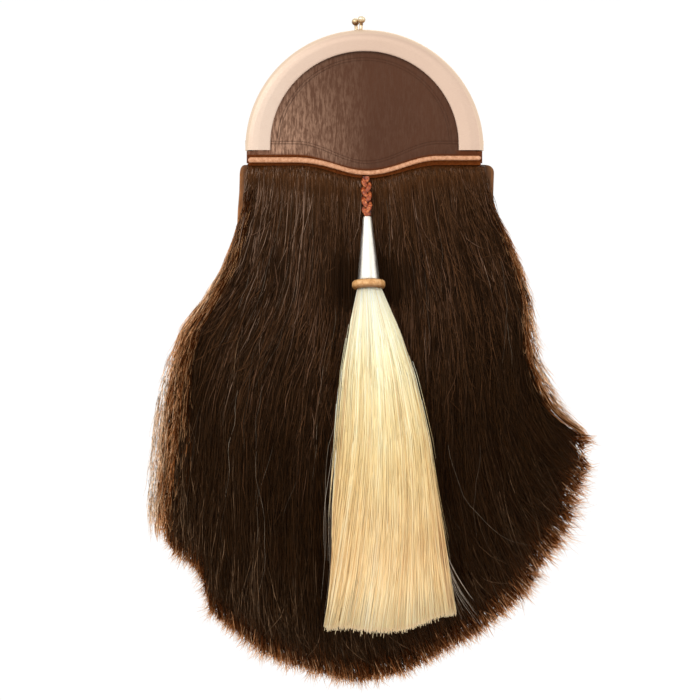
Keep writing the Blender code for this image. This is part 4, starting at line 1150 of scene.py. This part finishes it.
def make_hair_core(depth):
    """Closed, ridged body of the curtain, just inside its strands, that stands for the CAD hair."""
    share, drop = np.linspace(0.004, 0.996, 185), np.linspace(0.0, 0.98, 33)[:, None]
    x, z = curtain(share, drop)
    near, far = depth(share, drop)
    heading = -SHEET_FACE + LEATHER + GAP
    near[0], far[0] = heading, heading + 1.5
    streak = 0.45 * np.sin(share * 1230 + 5 * drop) * np.sin(share * 417 + 2.5 * drop) * ease(drop * 4)
    inset = np.minimum(1.1, (far - near) * 0.2) + streak
    near, far = near + inset, far - inset
    round_side = np.sqrt(1 - (1 - np.minimum(np.minimum(share, 1 - share) / 0.035, 1)) ** 2)
    taper = 0.5 - 0.5 * mix(0.25, 1, round_side) * (1 - 0.6 * ease((drop - 0.86) / 0.12))
    front, back = (spots(x, y, z) for y in (mix(near, far, taper), mix(far, near, taper)))
    finish = core_hair("hair_depth", "dark_horsehair", (0.012, 0.0040, 0.0008), (0.037, 0.0155, 0.0045),
                       0.05, 700.0)
    solid("hair_core", thick_sheet(front, back), finish, "hair", 70)


def make_hair_ends(depth, chance, ruddy):
    """Brush of fine reddish ends in tufts along the trimmed edge, over fewer thick and short ones."""
    count, tufts = END_HAIRS, END_TUFTS
    under = np.arange(count) < END_THICK
    start = chance.uniform(0.0, 1.0, count)
    tuft = np.minimum(np.floor(start * tufts), tufts - 1).astype(int)
    middle = (tuft + 0.5) / tufts
    full = 1 - (2 * (start - middle) * tufts) ** 2
    longest = np.interp(start, (0, 0.05, 0.2, 0.45, 0.62, 0.76, 0.83, 0.92, 1.0),
                        (13.0, 13.5, 13.5, 11.5, 10.5, 12.0, 18.0, 21.0, 12.0))
    grown = np.where(under, chance.uniform(0.0, 0.36, count), chance.uniform(0.05, 1.0, count) ** 1.3)
    reach = longest * grown * mix(0.6, 1.0, full) * np.random.default_rng(3).uniform(0.5, 1.0, tufts)[tuft]
    first = chance.uniform(0.962, 0.99, count)
    near = np.clip(start + (middle - start) * 0.45 + chance.normal(0, 0.005, count), 0, 1)
    root, edge, way = curtain(start, first), tip_places(near), tip_outwards(near)
    aside = np.stack([way[1], -way[0]]) * chance.normal(0, 0.35, count)
    tip = edge + (way + aside) * reach
    grow = np.array((0.0, 0.42, 0.74, 1.0))
    root, edge, tip = root[:, :, None], edge[:, :, None], tip[:, :, None]
    flat = root * (1 - grow) ** 2 + edge * 2 * grow * (1 - grow) + tip * grow ** 2
    x, z = flat + chance.normal(0, 0.3, flat.shape) * (grow > 0)
    deep = mix(*depth(start, first), chance.uniform(-0.1, 1.05, count))
    y = deep[:, None] + chance.normal(0, 1.0, (count, 1)) * grow
    tone = np.where(under, chance.uniform(0.1, 0.42, count), chance.uniform(0.15, 0.72, count) + 0.35 * grown)
    radius = np.where(under, chance.uniform(0.35, 0.5, count), chance.uniform(0.12, 0.24, count))
    make_strands("hair_ends", spots(x, y, z), radius, np.clip(tone, 0, 1), ruddy, 0.15, 0.5,
                 np.where(under, 0.72, 1.0))


def make_hair_rim(depth, chance, ruddy, row):
    """Loose frizzy hairs down one side of the mass, thinning out to its outline, over thicker ones."""
    count, right = row.count, row.name == "right"
    end, grow = TIP_ROWS[-1 if right else 0].level, np.linspace(0, 1, 5)
    under = np.arange(count) < row.thick
    top = chance.uniform(end + 8, -26, count)
    length = np.minimum(chance.uniform(8, 28, count), top - end + chance.uniform(-4, row.past_end, count))
    level = top[:, None] - length[:, None] * grow
    inner = ~under & (chance.random(count) < row.within)
    out = np.where(inner, -chance.uniform(0, 1, count) ** 1.6,
                   chance.uniform(0, 1, count) ** row.sparse * 1.14 - 0.16)
    out = np.where(under, chance.uniform(-0.2, row.body, count), out)
    apart = np.clip(out, 0, 1)
    middle = top - length / 2
    clump = 0.65 * np.sin(24 * out + 1.6 * np.sin(middle / 9)) * np.sin(middle / 5 + 8 * out)
    clump = clump * np.clip(0.35 + 1.1 * out, 0.35, 1)
    if right:
        lit = 0.36 + 0.70 * out
    else:
        lit = np.interp(out, (-0.16, 0, 0.25, 0.45, 0.6, 0.85, 1.0),
                        (0.20, 0.32, 0.48, 0.74, 1.12, 1.45, 1.55))
        lit = lit + 0.07 * ease((-172 - middle) / 12)
        lit = lit - 0.06 * ease((0.3 - out) / 0.3) * ease((middle + 178) / 20)
    tone = np.where(inner, 0.02 + 0.14 * (1 + out), lit + clump) + chance.normal(0, 0.24, count)
    tone = np.where(under, lit - 0.04 + clump + chance.normal(0, 0.16, count), tone)
    dim = (1.0, row.dim_low, row.dim_low, 1.0, row.dim_high)
    tone = np.clip(tone, 0.02, 1) * np.interp(top, (-152, -128, -108, -88, -40), dim)
    radius = chance.uniform(0.11, 0.20, count) * mix(1.1, row.slim, apart)
    radius = np.where(under, chance.uniform(0.38, 0.55, count), radius)
    wander = np.where(under, 0.05, mix(0.2, row.wander, apart))
    wide = out[:, None] + (wander * chance.normal(0, 1, count))[:, None] * grow
    if right:
        wide = np.where(wide > 0, wide * mix(0.45, 1.15, grow ** 0.8), wide)
    loose = np.maximum(read(SIDE_ROWS, "loose_" + row.name, level), 1.0)
    turn, wave = chance.uniform(0, math.tau, (count, 1)), chance.uniform(16, 36, (count, 1))
    inside = row.deepest * np.interp(top, (-190, -165, -130), (1.0, 0.62, 0.4))[:, None]
    away = np.where(wide > 0, loose, inside) * wide + 0.5 * np.sin(turn + math.tau * level / wave)
    x = read(SIDE_ROWS, row.name, level) + (away if right else -away)
    drop = (level - SIDE_ROWS[0].level) / (end - SIDE_ROWS[0].level)
    deep = np.where(out < 0.15, chance.uniform(-0.12, 0.04, count), chance.uniform(-0.05, 0.95, count))
    deep = np.where(under, chance.uniform(0.2, 0.8, count), deep)
    y = mix(*depth(float(right), drop), deep[:, None])
    share = -out * row.deepest / (TIP_ROWS[-1].across - TIP_ROWS[0].across)
    over = depth((1 - share if right else share)[:, None], drop)[0] - 0.9
    y = np.where(inner[:, None], over, y)
    make_strands("hair_rim_" + row.name, spots(x, y, level), radius, tone, ruddy)


def make_hair_strays(depth, chance):
    """Few single hairs, paler than the rest, that wander across the curtain."""
    count = STRAY_HAIRS
    pale = hair_finish("stray_horsehair", "dark_horsehair",
                       ((0.0, (0.045, 0.030, 0.020)), (0.6, (0.10, 0.073, 0.052)), (1.0, (0.27, 0.215, 0.165))),
                       PALER_DOWN, (0.30, 0.24, 0.18), 0.9, 0.35, 0.2, (1.0, 0.9, 0.8))
    start = chance.uniform(0.03, 0.97, count)
    first = chance.uniform(0.02, 0.7, count)
    last = np.minimum(first + chance.uniform(0.12, 0.4, count), 0.97)
    paths = hair_path(depth, chance, start, first, last, np.linspace(0, 1, 14),
                      chance.uniform(1.2, 2.2, count), pull=0.0, wander=0.022, frizz=1.2)
    bow, wave = chance.normal(0, 2.2, (count, 1)), chance.uniform(70, 150, (count, 1))
    paths[:, :, 0] += bow * np.sin(math.tau * (paths[:, :, 2] / wave + chance.random((count, 1))))
    make_strands("hair_strays", paths, chance.uniform(0.07, 0.13, count), chance.uniform(0, 1, count), pale)


# ---------------------------------------------------------------- tassel

def tassel_rows():
    """Left, right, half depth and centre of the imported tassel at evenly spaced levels."""
    tree = surface_tree("tassel")
    tips = TASSEL_ROWS.level[-1]
    level = np.linspace(TASSEL_ROWS.level[1], tips, 47)
    left, right, depth = (read(TASSEL_ROWS, name, level) for name in ("left", "right", "depth"))
    centre = [sum(faces_at(tree, x, max(z, tips + 6))) / 2 for x, z in zip((left + right) / 2, level)]
    return np.rec.fromarrays([level, left, right, depth, centre], names="level left right depth centre".split())


def tassel_turn(turn, fall):
    """Angle of a strand round the tassel after it has fallen a share of the way to the tips."""
    sweep = (0.5 - 0.5 * np.cos(turn)) * np.clip((fall - 0.62) / 0.38, 0, 1) ** 1.5
    return turn - TASSEL_TWIST * ease((fall - 0.25) / 0.75) - TASSEL_SWEEP * sweep


def tassel_end(turn, out):
    """Level of the tips of strands at these angles and shares of the radius."""
    across = np.cos(tassel_turn(turn, 1.0)) * out
    return TASSEL_ROWS.level[-1] + TASSEL_TIP_RISE * ease(across) - 1.8 + 2.0 * ease((-across - 0.3) / 0.5)


def tassel_path(rows, chance, turn, out, first, last, steps, wander=0.02):
    """Paths of tassel strands at an angle round it and a share of its radius out from its middle."""
    count, turn = len(turn), turn[:, None]
    grow = np.linspace(0, 1, steps) + np.zeros((count, 1))
    grow[:, 1:-1] += chance.uniform(-0.45, 0.45, (count, steps - 2)) / steps
    level = mix(first[:, None], last[:, None], grow)
    fall = (rows.level[0] - level) / (rows.level[0] - rows.level[-1])
    lean = chance.normal(0, wander, (count, 1)) * np.maximum(fall, 0) ** 1.5
    phase = chance.uniform(0, math.tau, (count, 1))
    angle = tassel_turn(turn, fall) + lean + 0.05 * np.sin(3 * turn + 7 * fall) * fall
    out = out[:, None] + 0.02 * np.sin(phase + 9 * fall)
    left, right = read(rows, "left", level), read(rows, "right", level)
    x = (left + right) / 2 + (right - left) / 2 * np.cos(angle) * out
    x = x - 2.2 * ease((-np.cos(angle) - 0.7) / 0.3) * ease((fall - 0.8) / 0.25)
    y = read(rows, "centre", level) + read(rows, "depth", level) * np.sin(angle) * out
    return spots(x, y, level)


def make_tassel_core(rows, sides=96):
    """Closed streaked body of the tassel, inside its strands and trimmed on a slant like them."""
    step, turn = np.arange(len(rows))[:, None], math.tau * np.arange(sides) / sides
    level, left, right, depth, centre = (rows[name][:, None] for name in rows.dtype.names)
    loose = ease(step / step[-1] * 3)
    grow = mix(0.93, 0.895, step / step[-1])
    grow = grow * (1 + loose * (0.015 * np.cos(10 * turn) + 0.01 * np.sin(37 * turn + step * 0.15)))
    trim = level[-1] + TASSEL_TIP_RISE * ease(np.cos(turn)) + 4.0 + 0.05 * (step[-1] - step)
    rings = spots((left + right) / 2 + (right - left) / 2 * np.cos(turn) * grow,
                  centre + depth * np.sin(turn) * grow, np.maximum(level, trim))
    finish = core_hair("tassel_depth", "pale_horsehair", (0.92, 0.72, 0.42), (1.0, 0.88, 0.62), 0.03, 800.0)
    solid("tassel_core", loft(rings), finish, "tassel", 70)


def make_tassel():
    """Cream tassel: a streaked core under its strands, with a few loose hairs."""
    rows, chance = tassel_rows(), np.random.default_rng(19)
    shades = ((0.0, (0.60, 0.43, 0.27)), (0.2, (0.78, 0.60, 0.36)), (0.4, (0.90, 0.76, 0.47)),
              (0.7, (0.96, 0.86, 0.58)), (1.0, (1.0, 0.96, 0.76)))
    # Along the tassel's strands: whiter at the top and brighter at the tips, partly the hair's own tint and
    # partly painted light.
    lower = ((0.0, (1.14, 1.30, 1.65)), (0.2, (1.10, 1.18, 1.26)), (0.32, (1.10, 1.10, 1.04)),
             (0.5, (1.04, 0.95, 0.77)), (0.8, (1.02, 0.86, 0.69)), (0.92, (1.15, 1.05, 0.93)),
             (1.0, (1.24, 1.16, 1.08)))
    pale = hair_finish("pale_horsehair", "pale_horsehair", shades, lower, (0.94, 0.76, 0.48), 0.985, 0.45, 0.35,
                       (1.0, 0.95, 0.85), (0.92, 1.06))
    make_tassel_core(rows)
    count = TASSEL_HAIRS
    turn = chance.uniform(0, math.tau, count)
    out = np.minimum(chance.normal(0.955, 0.03, count), 1.01)
    first = rows.level[0] + chance.uniform(-1, 1, count)
    end = tassel_end(turn, out) + chance.normal(0, 1.6, count)
    paths = tassel_path(rows, chance, turn, out, first, end, 8)
    across = np.cos(tassel_turn(turn, 0.85))
    tone = chance.normal(0.55, 0.17, count) + 0.09 * np.sin(19 * turn) + 0.10 * np.sin(8 * turn + 1.2)
    # Painted light: strands left of the middle are paler, where the round bundle faces the key light.
    tone = np.clip(tone + 0.22 * np.exp(-((across + 0.35) / 0.4) ** 2), 0.22, 1)
    # Painted shade: strands at the tassel's sides are darker, more at the right, where the round bundle turns
    # from the light.
    tone = np.clip(tone - np.where(across > 0, 0.45, 0.10) * ease((np.abs(across) - 0.88) / 0.11), 0, 1)
    make_strands("tassel_strands", paths, chance.uniform(0.22, 0.40, count), tone, pale, 0.6, 0.9)

    count = TASSEL_ENDS
    turn = chance.uniform(0, math.tau, count)
    out = np.sqrt(chance.uniform(0.02, 0.9, count))
    first = chance.uniform(-300, -285, count)
    end = tassel_end(turn, out) + chance.normal(0, 1.2, count)
    paths = tassel_path(rows, chance, turn, out, first, end, 4)
    make_strands("tassel_ends", paths, chance.uniform(0.25, 0.42, count), chance.uniform(0.2, 0.9, count), pale,
                 0.6, 0.9)

    count = TASSEL_STRAYS
    turn = np.where(chance.random(count) < 0.5, math.pi, 0) + chance.normal(0, 0.35, count)
    out = chance.uniform(1.02, 1.12, count)
    first = chance.uniform(-200, -105, count)
    end = np.maximum(first - chance.uniform(60, 120, count), -318)
    paths = tassel_path(rows, chance, turn, out, first, end, 12, 0.05)
    make_strands("tassel_strays", paths, chance.uniform(0.09, 0.16, count), chance.uniform(0.4, 1, count), pale)
    make_tassel_flick(rows, chance)


def make_tassel_flick(rows, chance):
    """Greyer hairs that flick out at the tassel's lower right, and a few that hang at its left."""
    count = FLICK_HAIRS
    left_ones, grow = (np.arange(count) < FLICK_LEFT)[:, None], np.linspace(0, 1, 14)

    def draw(low, high):
        return chance.uniform(low, high, (count, 1))

    top = np.where(left_ones, draw(-230, -140), draw(-264, -246))
    drop = np.where(left_ones, np.minimum(draw(60, 150), top + 322), draw(42, 56))
    level = top - drop * grow
    x = read(TASSEL_ROWS, "right", level) - draw(0.5, 3)
    x = x + draw(3, 21) * grow ** 1.9
    aside = draw(1.0, 6.5) + 1.2 * np.sin(draw(0, 6) + level / 16)
    x = np.where(left_ones, read(TASSEL_ROWS, "left", level) - aside * ease(grow * 4), x)
    y = rows.centre[-1] - 2.0 - 4.0 * grow
    grey = hair_finish("flick_horsehair", "pale_horsehair",
                       ((0.0, (0.34, 0.28, 0.22)), (1.0, (0.80, 0.70, 0.60))), PALER_DOWN,
                       (0.45, 0.40, 0.36), 0.9, 0.45, 0.2, (1.0, 0.95, 0.85), (0.8, 1.15))
    make_strands("tassel_flick", spots(x, y, level), chance.uniform(0.09, 0.14, count),
                 chance.uniform(0, 1, count), grey)


# ---------------------------------------------------------------- studio

def make_camera():
    """Long lens straight in front, framed as the photograph is."""
    lens = bpy.data.cameras.new("camera")
    lens.sensor_width = SENSOR
    lens.lens = SENSOR * (CAMERA_AWAY - FRAME_FRONT) / (PHOTO_SIZE * PIXEL)
    lens.clip_start, lens.clip_end = 0.05, 40.0
    camera = bpy.data.objects.new("camera", lens)
    camera.location = to_row((PHOTO_MIDDLE[0], -CAMERA_AWAY, PHOTO_MIDDLE[1]))
    camera.rotation_euler = (math.pi / 2, 0, 0)
    bpy.context.collection.objects.link(camera)
    bpy.context.scene.camera = camera


def make_floor():
    """Pale floor well below the hanging pouch."""
    mesh = bpy.data.meshes.new("floor")
    corners = [(x * FLOOR_HALF, y * FLOOR_HALF, FLOOR_LEVEL) for x, y in ((-1, -1), (1, -1), (1, 1), (-1, 1))]
    mesh.from_pydata(corners, [], [(0, 1, 2, 3)])
    made = Finish("pale_floor", None, 0.8)
    made.dress(made.noise(3.0, 4.0).ramp((0.4, (0.84, 0.84, 0.84)), (0.6, (0.86, 0.86, 0.86))))
    mesh.materials.append(made.material)
    floor = bpy.data.objects.new("floor", mesh)
    bpy.context.collection.objects.link(floor)


def make_world():
    """White surroundings to the camera, a little warmer and dimmer as light."""
    world = bpy.data.worlds.new("white_room")
    world.use_nodes = True
    nodes, links = world.node_tree.nodes, world.node_tree.links
    nodes.clear()
    path, either, out = (nodes.new("ShaderNode" + kind) for kind in ("LightPath", "MixShader", "OutputWorld"))
    links.new(path.outputs["Is Camera Ray"], either.inputs[0])
    for socket, colour, strength in ((1, (1.0, 0.965, 0.92, 1.0), 0.92), (2, (1.0, 1.0, 1.0, 1.0), 1.02)):
        light = nodes.new("ShaderNodeBackground")
        light.inputs["Color"].default_value = colour
        light.inputs["Strength"].default_value = strength
        links.new(light.outputs[0], either.inputs[socket])
    links.new(either.outputs[0], out.inputs["Surface"])
    bpy.context.scene.world = world


def make_lights():
    """Soft square lights that point at the pouch."""
    for name, place, size, energy, colour in (("front", (-0.6, -3.2, 1.2), 2.2, 14.0, (1.0, 0.95, 0.88)),
                                              ("key", (-1.7, -1.5, 1.0), 1.0, 14.0, (1.0, 0.94, 0.84)),
                                              ("fill", (1.8, -1.4, 0.5), 1.2, 5.0, (1.0, 0.92, 0.84)),
                                              ("behind", (0.3, 1.9, 0.8), 1.4, 12.0, (1.0, 0.95, 0.9))):
        light = bpy.data.lights.new(name, "AREA")
        light.size, light.energy, light.color = size, energy, colour
        made = bpy.data.objects.new(name, light)
        made.location = place
        made.rotation_euler = (Vector(AIM) - Vector(place)).to_track_quat("-Z", "Y").to_euler()
        bpy.context.collection.objects.link(made)


def make_studio():
    """Floor, surroundings, lights and plain colours."""
    make_floor()
    make_world()
    make_lights()
    view = bpy.context.scene.view_settings
    view.view_transform, view.look, view.exposure, view.gamma = "Standard", "None", 0.0, 1.0


make_camera()
make_metal()
make_cantle()
make_piping()
make_bag()
make_braid()
make_cone()
make_ring()
make_hair()
make_tassel()
make_studio()
